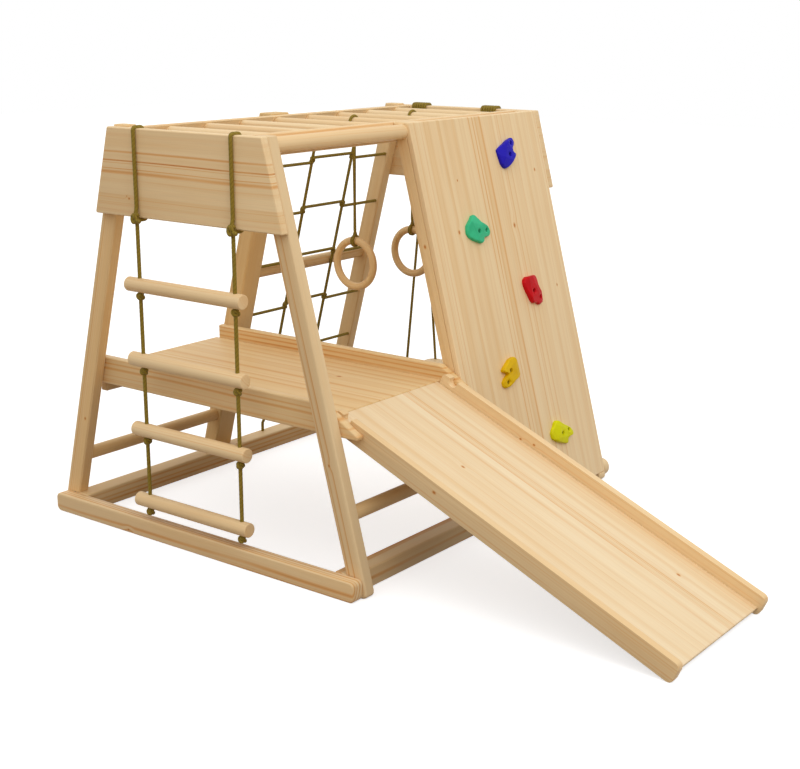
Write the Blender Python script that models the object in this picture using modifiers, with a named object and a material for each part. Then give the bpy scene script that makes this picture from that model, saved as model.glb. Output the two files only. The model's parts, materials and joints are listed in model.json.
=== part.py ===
"""Kids indoor gym of pine: an A-shaped frame with a deck and slide, a climbing wall with five holds,
a rope net, monkey bars, a pair of rings, a rope ladder and a board swing.

The frame's long axis is X. The rope ladder hangs at the -X end and the swing at the +X end.
The slide and the climbing wall are on the front, -Y, and the net is at the back, +Y.
The origin is at the underside centre of the base bar at the ladder end. Units are metres.
"""
import math

import bpy
import bmesh
import numpy as np
from mathutils import Matrix, Vector

# Clearance between pieces that touch
GAP = 0.0003

# Frame
FRAME_H = 1.150
HALF_SPREAD = 0.5905
LEAN = math.radians(14.917)
LEG_T = 0.036
LEG_W = 0.055
MID_LEG_T = 0.075
BACK_LEG_PROUD = 0.005
BAY_1 = 0.535
BAY_2 = 0.538
FOOT_ROUND = 0.015
LEG_EDGE = 0.004

# Bars on the floor
END_BAR_T = 0.040
END_BAR_H = 0.055
END_BAR_INSET = 0.0135
NEAR_BAR_ROUND = 0.015
FAR_BAR_ROUND = 0.026
BASE_BAR_W = 0.060
BASE_BAR_H = 0.055
BASE_BAR_INSET = 0.0785
BAR_EDGE = 0.003

# Boards across the ends, rails along the top, rungs between them
BOARD_T = 0.024
BOARD_H = 0.237
BOARD_EDGE = 0.003
RAIL_T = 0.022
RAIL_H = 0.055
RUNG_D = 0.032
RUNG_DROP = 0.021
RUNG_FIRST = 0.136
RUNG_PITCH = 0.1445
RUNG_SOCKET = 0.012
RUNG_COUNT = 8

# Rails in the sides of the two bays
HANDRAIL_D = 0.041
HANDRAIL_DROP = 0.025
LOW_RAIL_D = 0.039
LOW_RAIL_Z = {"front": 0.205, "back": 0.170}
MID_RAIL_D = 0.038
MID_RAIL_Z = 0.643

# Deck
SIDE_T = 0.024
SIDE_BOTTOM = 0.403
SIDE_H = 0.080
SIDE_BACK_Y = 0.460
NOSE_START_Y = 0.415
NOSE_SLOPE = 0.594
NOSE_TIP_Y = 0.533
NOSE_ROUND = 0.030
NOSE_TIP_ROUND = 0.005
NOSE_UNDERCUT = 0.004
SIDE_CORNER = 0.004
DECK_TOP = 0.4425
DECK_T = 0.018
DECK_FRONT_Y = 0.420
DECK_BACK_Y = 0.469
CLEAT_W = 0.025
CLEAT_H = 0.054
CLEAT_Y = 0.4525
DECK_EDGE = 0.002
BED_EDGE = 0.0015
PANEL_EDGE = 0.002

# Slide, in a frame with s up the slope from its lower end and t square to it from its underside. It leans
# from the floor on its pegs, so its slope and length follow from its reach and the pegs' place.
SLIDE_REACH_Y = 1.4006
SLIDE_RAIL_H = 0.056
SLIDE_RAIL_T = 0.022
SLIDE_FOOT_ROUND = 0.015
SLIDE_HEAD = 0.026
SLIDE_HEAD_ROUND = 0.016
TOP_NOTCH_INSET = 0.014
TOP_NOTCH_R = 0.013
TOP_NOTCH_DEPTH = 0.021
PEG_D = 0.020
PEG_NOSE_INSET = 0.083
PEG_DROP = 0.0636
PEG_T = 0.014
PEG_SOCKET = 0.012
HOOK_EDGE = 0.001
HEEL_ROUND = 0.006
NOTCH_EDGE = 0.003
BED_DROP = 0.032
BED_T = 0.009
BED_START_S = 0.010
BED_JOINT = 0.003

# Climbing wall
PANEL_T = 0.018
PANEL_BOTTOM = 0.027
HOLD_T = 0.016
HOLD_EDGE = 0.0035
HOLD_CORNER = 0.003
BOLT_HOLE_D = 0.009

# Net behind the second bay
NET_ROPE_D = 0.009
NET_TOP_ROW_DROP = 0.1553
NET_ROW_PITCH = 0.1611
NET_ROW_COUNT = 5
NET_VERTICALS = (0.829, 1.026)
NET_INSET = 0.012
NET_STEP = 0.016
NET_KNOT_D = 0.019
NET_KNOT_L = 0.020
NET_TOP_DROP = 0.030
NET_TAIL = 0.012
NET_BEND = 0.040
NET_BASE_INSET = 0.015

# Rope ladder
LADDER_ROPE_D = 0.011
LADDER_ROPE_INSET = {"left": 0.0321, "right": 0.0191}
LADDER_RUNG_D = 0.040
LADDER_RUNG_OVERHANG = {"left": 0.0450, "right": 0.0280}
LADDER_RUNG_Z = (0.7305, 0.521, 0.320, 0.112)
LADDER_KNOT_D = 0.026
LADDER_KNOT_H = 0.019
LADDER_LOOP_KNOT_D = 0.024
LADDER_RUNG_EDGE = 0.003

# Rings
RING_D = 0.165
RING_TUBE_D = 0.023
RING_Z = 0.703
RING_Y = 0.030
RING_RUNGS = (4, 6)
RING_ROPE_D = 0.0085
RING_ROPE_APART = 0.0090
RING_ROPE_JOIN = 0.045
RING_ROPE_PART = 0.032

# Swing
SWING_Y = 0.027
SWING_ROPE_D = 0.009
SEAT_L = 0.315
SEAT_W = 0.187
SEAT_T = 0.020
SEAT_TOP = 0.266
SEAT_CORNER = 0.030
SEAT_HOLE_INSET_X = 0.0095
SEAT_HOLE_INSET_Y = 0.0205
STRAND_INSET = 0.009
STRAND_CLEAR = 0.0006
STRAND_LIFT = 0.0009
SEAT_EDGE = 0.003
SEAT_KNOT_D = 0.018
SEAT_KNOT_L = 0.016
WIND_RAIL_GAP = 0.0058
WIND_TURNS = 6
WIND_SPACING = 0.0006

# Places that follow from the sizes
SLOPE = math.tan(LEAN)
COS = math.cos(LEAN)
SIN = math.sin(LEAN)
LEG_1_X = END_BAR_T / 2 + GAP
LEG_2_X = LEG_1_X + LEG_T + BAY_1
BAY_2_X = LEG_2_X + MID_LEG_T
LEG_3_X = BAY_2_X + BAY_2
FRAME_END_X = LEG_3_X + LEG_T
FAR_X = FRAME_END_X + GAP
BOARD_BOTTOM = FRAME_H - BOARD_H
END_BAR_HALF = HALF_SPREAD - END_BAR_INSET
BASE_BAR_Y = HALF_SPREAD - BASE_BAR_INSET
NET_ROWS = [FRAME_H - NET_TOP_ROW_DROP - NET_ROW_PITCH * row for row in range(NET_ROW_COUNT)]
NET_TOP_Z = FRAME_H - NET_TOP_DROP


def outer(z):
    """Distance from the middle plane to the outside of the legs at height z."""
    return HALF_SPREAD - SLOPE * z


def inner(z):
    """Distance from the middle plane to the inside of the legs at height z."""
    return outer(z) - LEG_W / COS


def middle(z):
    """Distance from the middle plane to the centre line of the legs at height z."""
    return (outer(z) + inner(z)) / 2


def rail_face(z):
    """Distance from the middle plane to the top rails' inner faces at height z."""
    return inner(z) - (GAP + RAIL_T) / COS


for old in list(bpy.data.objects):
    bpy.data.objects.remove(old, do_unlink=True)

PARTS = bpy.data.collections.new("indoor_gym")
CUTTERS = bpy.data.collections.new("cutters")
bpy.context.scene.collection.children.link(PARTS)
bpy.context.scene.collection.children.link(CUTTERS)


def finish_material(name, colour, roughness):
    """A Principled BSDF of one colour, made once for each finish."""
    found = bpy.data.materials.get(name)
    if found:
        return found
    made = bpy.data.materials.new(name)
    made.use_nodes = True
    shader = made.node_tree.nodes["Principled BSDF"]
    shader.inputs["Base Color"].default_value = (*colour, 1.0)
    shader.inputs["Roughness"].default_value = roughness
    shader.inputs["Metallic"].default_value = 0.0
    made.diffuse_color = (*colour, 1.0)
    return made


def pine():
    return finish_material("pine", (0.83, 0.64, 0.38), 0.55)


def turned_pine():
    return finish_material("turned_pine", (0.80, 0.58, 0.34), 0.50)


def rope_fibre():
    return finish_material("rope_fibre", (0.17, 0.13, 0.02), 0.80)


def moulded(name, colour):
    return finish_material("moulded_" + name, colour, 0.35)


def add(obj, material):
    """Put a finished piece in the model with its material."""
    PARTS.objects.link(obj)
    obj.data.materials.clear()
    obj.data.materials.append(material)
    return obj


def mesh_object(name, bm):
    mesh = bpy.data.meshes.new(name)
    bm.to_mesh(mesh)
    bm.free()
    return bpy.data.objects.new(name, mesh)


def curve_to_mesh(curve_obj):
    """Turn a curve into a closed mesh object that Bevel and Boolean can work on."""
    bpy.context.scene.collection.objects.link(curve_obj)
    bpy.context.view_layer.update()
    graph = bpy.context.evaluated_depsgraph_get()
    mesh = bpy.data.meshes.new_from_object(curve_obj.evaluated_get(graph))
    bm = bmesh.new()
    bm.from_mesh(mesh)
    bmesh.ops.remove_doubles(bm, verts=bm.verts, dist=0.00001)
    bmesh.ops.recalc_face_normals(bm, faces=bm.faces)
    bm.to_mesh(mesh)
    bm.free()
    made = bpy.data.objects.new(curve_obj.name, mesh)
    made.matrix_world = curve_obj.matrix_world
    curve = curve_obj.data
    name = curve_obj.name
    bpy.data.objects.remove(curve_obj, do_unlink=True)
    bpy.data.curves.remove(curve)
    made.name = name
    return made


def rounded(points, radii, steps=3):
    """Outline whose corner at each point is an arc of the radius given for it, or sharp at 0."""
    out = []
    count = len(points)
    for i, (point, radius) in enumerate(zip(points, radii)):
        here = Vector(point)
        if radius <= 0:
            out.append(here)
            continue
        before = Vector(points[i - 1]) - here
        after = Vector(points[(i + 1) % count]) - here
        half = before.angle(after) / 2
        reach = min(radius / math.tan(half), before.length * 0.48, after.length * 0.48)
        radius = reach * math.tan(half)
        before.normalize()
        after.normalize()
        centre = here + (before + after).normalized() * radius / math.sin(half)
        start = here + before * reach - centre
        end = here + after * reach - centre
        first = math.atan2(start.y, start.x)
        turn = math.remainder(math.atan2(end.y, end.x) - first, 2 * math.pi)
        for k in range(steps + 1):
            angle = first + turn * k / steps
            out.append(centre + radius * Vector((math.cos(angle), math.sin(angle))))
    return out


def circle(centre, radius, count, start=0.0, turn=2 * math.pi):
    """Points round a circle, or along an arc of it."""
    last = count if abs(turn) >= 2 * math.pi - 1e-9 else count - 1
    return [Vector((centre[0] + radius * math.cos(start + turn * k / last),
                    centre[1] + radius * math.sin(start + turn * k / last))) for k in range(count)]


def flat_shape(name, outlines, thickness, frame, edge, segments=1):
    """A filled outline, with holes if more outlines follow it, thickened and with eased edges."""
    curve = bpy.data.curves.new(name, "CURVE")
    curve.dimensions = "2D"
    curve.fill_mode = "BOTH"
    curve.extrude = thickness / 2
    for outline in outlines:
        spline = curve.splines.new("POLY")
        spline.points.add(len(outline) - 1)
        for spot, point in zip(spline.points, outline):
            spot.co = (point[0], point[1], 0.0, 1.0)
        spline.use_cyclic_u = True
    obj = bpy.data.objects.new(name, curve)
    obj.matrix_world = frame
    obj = curve_to_mesh(obj)
    bm = bmesh.new()
    bm.from_mesh(obj.data)
    bmesh.ops.dissolve_limit(bm, angle_limit=math.radians(0.5), verts=bm.verts, edges=bm.edges)
    bm.to_mesh(obj.data)
    bm.free()
    if edge:
        ease(obj, edge, segments)
    return obj


def ease(obj, width, segments=2):
    """Round the edges of a piece."""
    bevel = obj.modifiers.new("eased_edges", "BEVEL")
    bevel.width = width
    bevel.segments = segments
    bevel.limit_method = "ANGLE"
    bevel.angle_limit = math.radians(60)
    return bevel


def upright(x):
    """Frame whose first two axes are Y and Z, at a place along X."""
    return Matrix(((0, 0, 1, x), (1, 0, 0, 0), (0, 1, 0, 0), (0, 0, 0, 1)))


def across(name, outline, x0, x1, material, edge=BAR_EDGE, segments=1):
    """A piece whose outline lies in the YZ plane and that runs from x0 to x1."""
    return add(flat_shape(name, [outline], x1 - x0, upright((x0 + x1) / 2), edge, segments), material)


def cut(obj, cutter):
    """Take the cutter's shape out of a piece."""
    boolean = obj.modifiers.new("cut", "BOOLEAN")
    boolean.operation = "DIFFERENCE"
    boolean.solver = "EXACT"
    boolean.object = cutter


def join(obj, other):
    """Make another shape part of a piece."""
    boolean = obj.modifiers.new("join", "BOOLEAN")
    boolean.operation = "UNION"
    boolean.solver = "EXACT"
    boolean.object = other


def guide(obj):
    """Keep a cutter or a joined shape out of the model."""
    CUTTERS.objects.link(obj)
    obj.hide_render = True
    obj.display_type = "WIRE"
    return obj


def rod_mesh(name, start, end, radius, sides=20):
    """A closed round bar between two points."""
    start, end = Vector(start), Vector(end)
    axis = end - start
    bm = bmesh.new()
    bmesh.ops.create_cone(bm, cap_ends=True, segments=sides, radius1=radius, radius2=radius,
                          depth=axis.length)
    obj = mesh_object(name, bm)
    turn = Vector((0, 0, 1)).rotation_difference(axis)
    obj.matrix_world = Matrix.Translation((start + end) / 2) @ turn.to_matrix().to_4x4()
    return obj


def smooth(obj):
    """Shade a round piece smooth, with its edges kept sharp."""
    obj.data.shade_smooth()
    obj.data.set_sharp_from_angle(angle=math.radians(35))
    return obj


def rod(name, start, end, diameter, material, edge=0.0, sides=20):
    """A turned bar between two points, with eased ends if an edge is given."""
    obj = add(rod_mesh(name, start, end, diameter / 2, sides), material)
    smooth(obj)
    if edge:
        ease(obj, edge)
    return obj


def rods_mesh(name, pairs, radius, sides=16):
    """Several separate round bars in one mesh, for cutting a row of holes."""
    bm = bmesh.new()
    for start, end in pairs:
        start, end = Vector(start), Vector(end)
        axis = end - start
        turn = Vector((0, 0, 1)).rotation_difference(axis).to_matrix().to_4x4()
        bmesh.ops.create_cone(bm, cap_ends=True, segments=sides, radius1=radius, radius2=radius,
                              depth=axis.length, matrix=Matrix.Translation((start + end) / 2) @ turn)
    return mesh_object(name, bm)


def rope_curve(name, points, diameter, swell=None, cyclic=False, resolution=1):
    """A rope along a route. Swell gives each point's thickness as a multiple, for knots."""
    curve = bpy.data.curves.new(name, "CURVE")
    curve.dimensions = "3D"
    curve.bevel_depth = diameter / 2
    curve.bevel_resolution = resolution
    curve.use_fill_caps = not cyclic
    spline = curve.splines.new("POLY")
    spline.points.add(len(points) - 1)
    for i, (spot, point) in enumerate(zip(spline.points, points)):
        spot.co = (*point, 1.0)
        spot.radius = swell[i] if swell else 1.0
    spline.use_cyclic_u = cyclic
    return bpy.data.objects.new(name, curve)


def rope(name, points, diameter, swell=None, cyclic=False, resolution=1):
    """A rope as one closed piece of the model."""
    obj = curve_to_mesh(rope_curve(name, points, diameter, swell, cyclic, resolution))
    return smooth(add(obj, rope_fibre()))


def pivot(name, place):
    """An empty on a joint's axis, which carries the pieces that turn about it."""
    empty = bpy.data.objects.new(name, None)
    empty.location = place
    empty.empty_display_size = 0.05
    PARTS.objects.link(empty)
    return empty


def hang(obj, parent):
    """Parent a piece to a pivot without moving it."""
    bpy.context.view_layer.update()
    obj.parent = parent
    obj.matrix_parent_inverse = Matrix.Translation(-parent.location)


# Legs: each lies in the plane of its side, stands on the floor and is notched over the base bar
def hollow(name, outline, x0, x1):
    """A shape to be cut out, whose outline lies in the YZ plane."""
    return guide(flat_shape(name, [outline], x1 - x0, upright((x0 + x1) / 2), 0))


def bar_notch(word, side):
    low_y = side * (BASE_BAR_Y - BASE_BAR_W)
    high_y = side * (BASE_BAR_Y + BASE_BAR_W / 2 + GAP)
    outline = [(low_y, -BASE_BAR_H), (high_y, -BASE_BAR_H), (high_y, BASE_BAR_H + GAP),
               (low_y, BASE_BAR_H + GAP)]
    return hollow("bar_notch_" + word, outline, 0, FAR_X + LEG_T)


BAR_NOTCH = {-1: bar_notch("front", -1), 1: bar_notch("back", 1)}
REBATE_IN = (PANEL_T + GAP) / COS
REBATE_LOW = PANEL_BOTTOM - GAP
REBATE_TOP = FRAME_H + LEG_W
REBATE_OUT = LEG_W
PANEL_REBATE = hollow("panel_rebate", [(-outer(REBATE_LOW) - REBATE_OUT, REBATE_LOW),
                                       (-outer(REBATE_TOP) - REBATE_OUT, REBATE_TOP),
                                       (-outer(REBATE_TOP) + REBATE_IN, REBATE_TOP),
                                       (-outer(REBATE_LOW) + REBATE_IN, REBATE_LOW)],
                      LEG_2_X - LEG_T, FAR_X + LEG_T)


def leg(name, side, x, thickness, top, carries_panel):
    points = [(inner(0), 0), (outer(0), 0), (outer(top), top), (inner(top), top)]
    outline = rounded([(side * y, z) for y, z in points], [0, FOOT_ROUND, LEG_EDGE, LEG_EDGE])
    made = across(name, outline, x, x + thickness, pine(), LEG_EDGE)
    cut(made, BAR_NOTCH[side])
    if carries_panel:
        cut(made, PANEL_REBATE)
    return made


BACK_TOP = FRAME_H + BACK_LEG_PROUD
leg("leg_front_ladder_end", -1, LEG_1_X, LEG_T, FRAME_H, False)
leg("leg_front_middle", -1, LEG_2_X, MID_LEG_T, FRAME_H, True)
leg("leg_front_swing_end", -1, LEG_3_X, LEG_T, FRAME_H, True)
leg("leg_back_ladder_end", 1, LEG_1_X, LEG_T, BACK_TOP, False)
leg("leg_back_middle", 1, LEG_2_X, MID_LEG_T, BACK_TOP, False)
leg("leg_back_swing_end", 1, LEG_3_X, LEG_T, BACK_TOP, False)


# Bars on the floor: one across each end, one along each side between them
def end_bar(name, x0, rounding):
    corners = [(-END_BAR_HALF, 0), (END_BAR_HALF, 0),
               (END_BAR_HALF, END_BAR_H), (-END_BAR_HALF, END_BAR_H)]
    outline = rounded(corners, [rounding] * 4, 5)
    across(name, outline, x0, x0 + END_BAR_T, pine())


end_bar("base_bar_ladder_end", -END_BAR_T / 2, NEAR_BAR_ROUND)
end_bar("base_bar_swing_end", FAR_X, FAR_BAR_ROUND)

for side, word in ((-1, "front"), (1, "back")):
    near, far = side * (BASE_BAR_Y - BASE_BAR_W / 2), side * (BASE_BAR_Y + BASE_BAR_W / 2)
    across("base_bar_" + word, [(near, 0), (far, 0), (far, BASE_BAR_H), (near, BASE_BAR_H)],
           LEG_1_X, FRAME_END_X, pine())


# Boards across the tops of the legs at both ends, their ends cut to the legs' slope
def end_board(name, x0):
    corners = [(-outer(BOARD_BOTTOM), BOARD_BOTTOM), (outer(BOARD_BOTTOM), BOARD_BOTTOM),
               (outer(FRAME_H), FRAME_H), (-outer(FRAME_H), FRAME_H)]
    across(name, rounded(corners, [LEG_EDGE] * 4, 2), x0, x0 + BOARD_T, pine(), BOARD_EDGE)


end_board("end_board_ladder", END_BAR_T / 2 - BOARD_T)
end_board("end_board_swing", FAR_X)

# Top rails, screwed to the insides of the legs, with blind sockets for the rungs
RUNG_Z = FRAME_H - RUNG_DROP
rung_x = [LEG_1_X + RUNG_FIRST + RUNG_PITCH * k for k in range(RUNG_COUNT)]
rung_half = rail_face(RUNG_Z) + RUNG_SOCKET
sockets = guide(rods_mesh("rung_sockets", [((x, -rung_half - GAP, RUNG_Z), (x, rung_half + GAP, RUNG_Z))
                                           for x in rung_x], RUNG_D / 2 + GAP))
for side, word in ((-1, "front"), (1, "back")):
    low = FRAME_H - RAIL_H
    corners = [(rail_face(low), low), (inner(low) - GAP / COS, low),
               (inner(FRAME_H) - GAP / COS, FRAME_H), (rail_face(FRAME_H), FRAME_H)]
    rail = across("top_rail_" + word, [(side * y, z) for y, z in corners],
                  LEG_1_X, FRAME_END_X, pine(), BAR_EDGE)
    cut(rail, sockets)

for k, x in enumerate(rung_x):
    rod(f"monkey_bar_{k + 1}", (x, -rung_half, RUNG_Z), (x, rung_half, RUNG_Z), RUNG_D, turned_pine())

# Round rails of the first bay, on the centre lines of the legs they join
BAY_1_START = LEG_1_X + LEG_T + GAP
BAY_1_END = LEG_2_X - GAP
hand_z = FRAME_H - HANDRAIL_DROP
rod("handrail", (BAY_1_START, -middle(hand_z), hand_z), (BAY_1_END, -middle(hand_z), hand_z),
    HANDRAIL_D, turned_pine())
for side, word in ((-1, "front"), (1, "back")):
    z = LOW_RAIL_Z[word]
    rod("low_rail_" + word, (BAY_1_START, side * middle(z), z), (BAY_1_END, side * middle(z), z),
        LOW_RAIL_D, turned_pine())

# Round rail at the back of the second bay, its outside flush with the outside of the legs
mid_rail_y = outer(MID_RAIL_Z) - (MID_RAIL_D / 2 + GAP) / COS
rod("back_rail", (BAY_2_X + GAP, mid_rail_y, MID_RAIL_Z), (LEG_3_X - GAP, mid_rail_y, MID_RAIL_Z),
    MID_RAIL_D, turned_pine())

# Slide frame: s runs up the slope from the rails' lower end, t is square to it from their underside
SIDE_TOP = SIDE_BOTTOM + SIDE_H
peg_y, peg_z = PEG_NOSE_INSET - NOSE_TIP_Y, SIDE_TOP - PEG_DROP
foot_to_peg = math.hypot(peg_y + SLIDE_REACH_Y, peg_z - SLIDE_FOOT_ROUND)
peg_rise = math.asin((PEG_T - SLIDE_FOOT_ROUND) / foot_to_peg)
slide_angle = math.atan2(peg_z - SLIDE_FOOT_ROUND, peg_y + SLIDE_REACH_Y) - peg_rise
slide_cos, slide_sin = math.cos(slide_angle), math.sin(slide_angle)
peg_s = SLIDE_FOOT_ROUND + foot_to_peg * math.cos(peg_rise)
slide_rail_l = peg_s + SLIDE_HEAD
top_notch_s = peg_s - TOP_NOTCH_INSET
corner_y = SLIDE_REACH_Y + SLIDE_FOOT_ROUND * (slide_cos - slide_sin)
corner_z = SLIDE_FOOT_ROUND * (1 - slide_sin - slide_cos)


def on_slide(s, t):
    """Place in the YZ plane of a point given in the slide's own frame."""
    return (-(corner_y - s * slide_cos + t * slide_sin), corner_z + s * slide_sin + t * slide_cos)


# Deck: a board between two side boards, whose noses hold the pegs that the slide hooks on
nose_z = SIDE_TOP - NOSE_SLOPE * (NOSE_TIP_Y - NOSE_START_Y)
SIDE_1_X = BAY_1_START
SIDE_2_X = BAY_1_END - SIDE_T
DECK_START = SIDE_1_X + SIDE_T + GAP
DECK_END = SIDE_2_X - GAP


def side_board(name, x0, peg_from, peg_to):
    corners = [(SIDE_BACK_Y, SIDE_BOTTOM), (SIDE_BACK_Y, SIDE_TOP), (-NOSE_START_Y, SIDE_TOP),
               (-NOSE_TIP_Y, nose_z), (-NOSE_TIP_Y + NOSE_UNDERCUT, SIDE_BOTTOM)]
    radii = [SIDE_CORNER, SIDE_CORNER, NOSE_ROUND, NOSE_TIP_ROUND, SIDE_CORNER]
    board = across(name, rounded(corners, radii), x0, x0 + SIDE_T, pine())
    peg = guide(rod_mesh(name + "_peg", (peg_from, peg_y, peg_z), (peg_to, peg_y, peg_z), PEG_D / 2))
    join(board, peg)


side_board("deck_side_ladder_end", SIDE_1_X, SIDE_1_X + SIDE_T - PEG_SOCKET, DECK_START + SLIDE_RAIL_T)
side_board("deck_side_middle", SIDE_2_X, SIDE_2_X + PEG_SOCKET, DECK_END - SLIDE_RAIL_T)

deck_low = DECK_TOP - DECK_T
across("deck_board", [(-DECK_FRONT_Y, deck_low), (DECK_BACK_Y, deck_low), (DECK_BACK_Y, DECK_TOP),
                      (-DECK_FRONT_Y, DECK_TOP)], DECK_START, DECK_END, pine(), DECK_EDGE)
cleat_top = deck_low - GAP
cleat_low = cleat_top - CLEAT_H
cleat_front, cleat_back = CLEAT_Y - CLEAT_W / 2, CLEAT_Y + CLEAT_W / 2
across("deck_cleat", [(cleat_front, cleat_low), (cleat_back, cleat_low), (cleat_back, cleat_top),
                      (cleat_front, cleat_top)], DECK_START, DECK_END, pine(), DECK_EDGE)

# Slide: two notched rails and the bed between them, which lift together off the pegs
slide_seat = pivot("slide_seat", (0, peg_y, peg_z))


def slide_rail(name, x0):
    r = PEG_D / 2 + GAP
    hook_left = circle((peg_s, PEG_T), r, 9, math.pi, -math.pi)
    notch_t = SLIDE_RAIL_H - TOP_NOTCH_DEPTH + TOP_NOTCH_R
    notch = circle((top_notch_s, notch_t), TOP_NOTCH_R, 9, 0.0, -math.pi)
    lip = [(top_notch_s + TOP_NOTCH_R, SLIDE_RAIL_H), (top_notch_s - TOP_NOTCH_R, SLIDE_RAIL_H)]
    points = [(0, 0), (peg_s - r, 0), *hook_left, (peg_s + r, 0), (slide_rail_l, 0),
              (slide_rail_l, SLIDE_RAIL_H), lip[0], *notch, lip[1], (0, SLIDE_RAIL_H)]
    radii = [SLIDE_FOOT_ROUND, HOOK_EDGE, *[0] * 9, HOOK_EDGE, HEEL_ROUND, SLIDE_HEAD_ROUND, NOTCH_EDGE,
             *[0] * 9, NOTCH_EDGE, SLIDE_FOOT_ROUND]
    outline = [on_slide(s, t) for s, t in rounded(points, radii, 4)]
    hang(across(name, outline, x0, x0 + SLIDE_RAIL_T, pine(), BAR_EDGE), slide_seat)


slide_rail("slide_rail_ladder_side", DECK_START)
slide_rail("slide_rail_wall_side", DECK_END - SLIDE_RAIL_T)

bed_top = SLIDE_RAIL_H - BED_DROP
bed_low = bed_top - BED_T
bed_end_y = DECK_FRONT_Y + BED_JOINT


def bed_end_s(t):
    """Where the upright cut at the bed's upper end meets height t above the rails' underside."""
    return (corner_y + t * slide_sin - bed_end_y) / slide_cos


bed_points = [(BED_START_S, bed_low), (bed_end_s(bed_low), bed_low), (bed_end_s(bed_top), bed_top),
              (BED_START_S, bed_top)]
bed_outline = [on_slide(s, t) for s, t in bed_points]
hang(across("slide_bed", bed_outline, DECK_START + SLIDE_RAIL_T + GAP, DECK_END - SLIDE_RAIL_T - GAP,
            pine(), BED_EDGE), slide_seat)

# Climbing wall: a board let into the two front legs, flush with the outside of the frame
panel_in = PANEL_T / COS
across("climbing_wall", [(-outer(PANEL_BOTTOM), PANEL_BOTTOM), (-outer(FRAME_H), FRAME_H),
                         (-outer(FRAME_H) + panel_in, FRAME_H),
                         (-outer(PANEL_BOTTOM) + panel_in, PANEL_BOTTOM)],
       LEG_2_X, FRAME_END_X, pine(), PANEL_EDGE)

# Climbing holds: centre of each from the wall's first edge and down from its top, then its colour, outline
# and bolt holes, in millimetres along and up the wall
HOLDS = {
    "blue": ((438.6, 115.6), (0.03, 0.02, 0.62),
             [(36, 45), (14, 40), (-6, 31), (-30, 22), (-46, 14), (-45, 2), (-42, -12), (-38, -29),
              (-30, -40), (-18, -45), (-6, -42), (8, -35), (24, -23), (46, -7), (33, -1), (28, 6),
              (31, 16), (42, 23), (48, 31), (43, 43)],
             [(22, 28), (5, -5)]),
    "green": ((214.9, 313.9), (0.06, 0.58, 0.33),
              [(-8, 43), (-18, 41), (-30, 30), (-43, 21), (-51, 15), (-55, 2), (-56, -8), (-49, -19),
               (-32, -30), (-10, -38), (6, -43), (17, -39), (16, -30), (24, -27), (43, -27), (52, -23),
               (56, -14), (45, 1), (33, 10), (16, 19), (4, 32)],
              [(-5, -7), (33, -8)]),
    "red": ((435.9, 523.2), (0.70, 0.01, 0.02),
            [(16, 46), (-27, 46), (-39, 40), (-44, 30), (-42, 20), (-37, 4), (-27, -17), (-21, -30),
             (-14, -36), (5, -38), (16, -46), (28, -45), (40, -41), (44, -33), (42, -22), (39, -8),
             (31, 4), (27, 15), (27, 30), (23, 42)],
            [(-7, 0), (26, -23)]),
    "amber": ((231.4, 730.5), (0.75, 0.50, 0.01),
              [(29, 42), (18, 41), (3, 38), (-10, 30), (-27, 21), (-41, 11), (-25, 3), (-9, -2),
               (-30, -9), (-45, -21), (-45, -35), (-34, -41), (-19, -40), (-8, -35), (8, -27), (33, -22),
               (45, -16), (43, 1), (41, 17), (37, 34)],
              [(-4, 5), (-23, -26)]),
    "lime": ((437.7, 953.1), (0.70, 0.70, 0.01),
             [(-18, 42), (-29, 38), (-38, 27), (-49, 19), (-56, 10), (-56, 0), (-53, -10), (-40, -18),
              (-19, -28), (7, -36), (24, -41), (19, -28), (26, -21), (37, -19), (49, -19), (56, -11),
              (48, 4), (34, 13), (16, 22), (2, 31), (-8, 39)],
             [(-5, -3), (32, 0)]),
}
MM = 0.001


def on_wall(x, z, proud):
    """Frame on the wall's face at x and height z, its first axis along X and its third outward."""
    centre = Vector((x, -outer(z) - proud * COS, z + proud * SIN))
    return Matrix.Translation(centre) @ Matrix(((1, 0, 0, 0), (0, SIN, -COS, 0), (0, COS, SIN, 0),
                                                (0, 0, 0, 1)))


for colour, ((x, drop), rgb, outline, holes) in HOLDS.items():
    shape = rounded([(a * MM, b * MM) for a, b in outline], [HOLD_CORNER] * len(outline), 1)
    frame = on_wall(LEG_2_X + x * MM, FRAME_H - drop * MM, GAP + HOLD_T / 2)
    hold = add(flat_shape("hold_" + colour, [shape], HOLD_T, frame, HOLD_EDGE, 1), moulded(colour, rgb))
    bores = rods_mesh(f"hold_{colour}_bores", [((a * MM, b * MM, -HOLD_T), (a * MM, b * MM, HOLD_T))
                                               for a, b in holes], BOLT_HOLE_D / 2, 12)
    bores.matrix_world = frame
    cut(hold, guide(bores))

# Net: two ropes down the back of the second bay, knotted to five rows of rope between the legs
net_start = BAY_2_X + GAP
net_end = LEG_3_X - GAP
swell_knot = NET_KNOT_D / NET_ROPE_D


def net_place(x, z):
    return Vector((x, inner(z) + NET_INSET, z))


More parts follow.
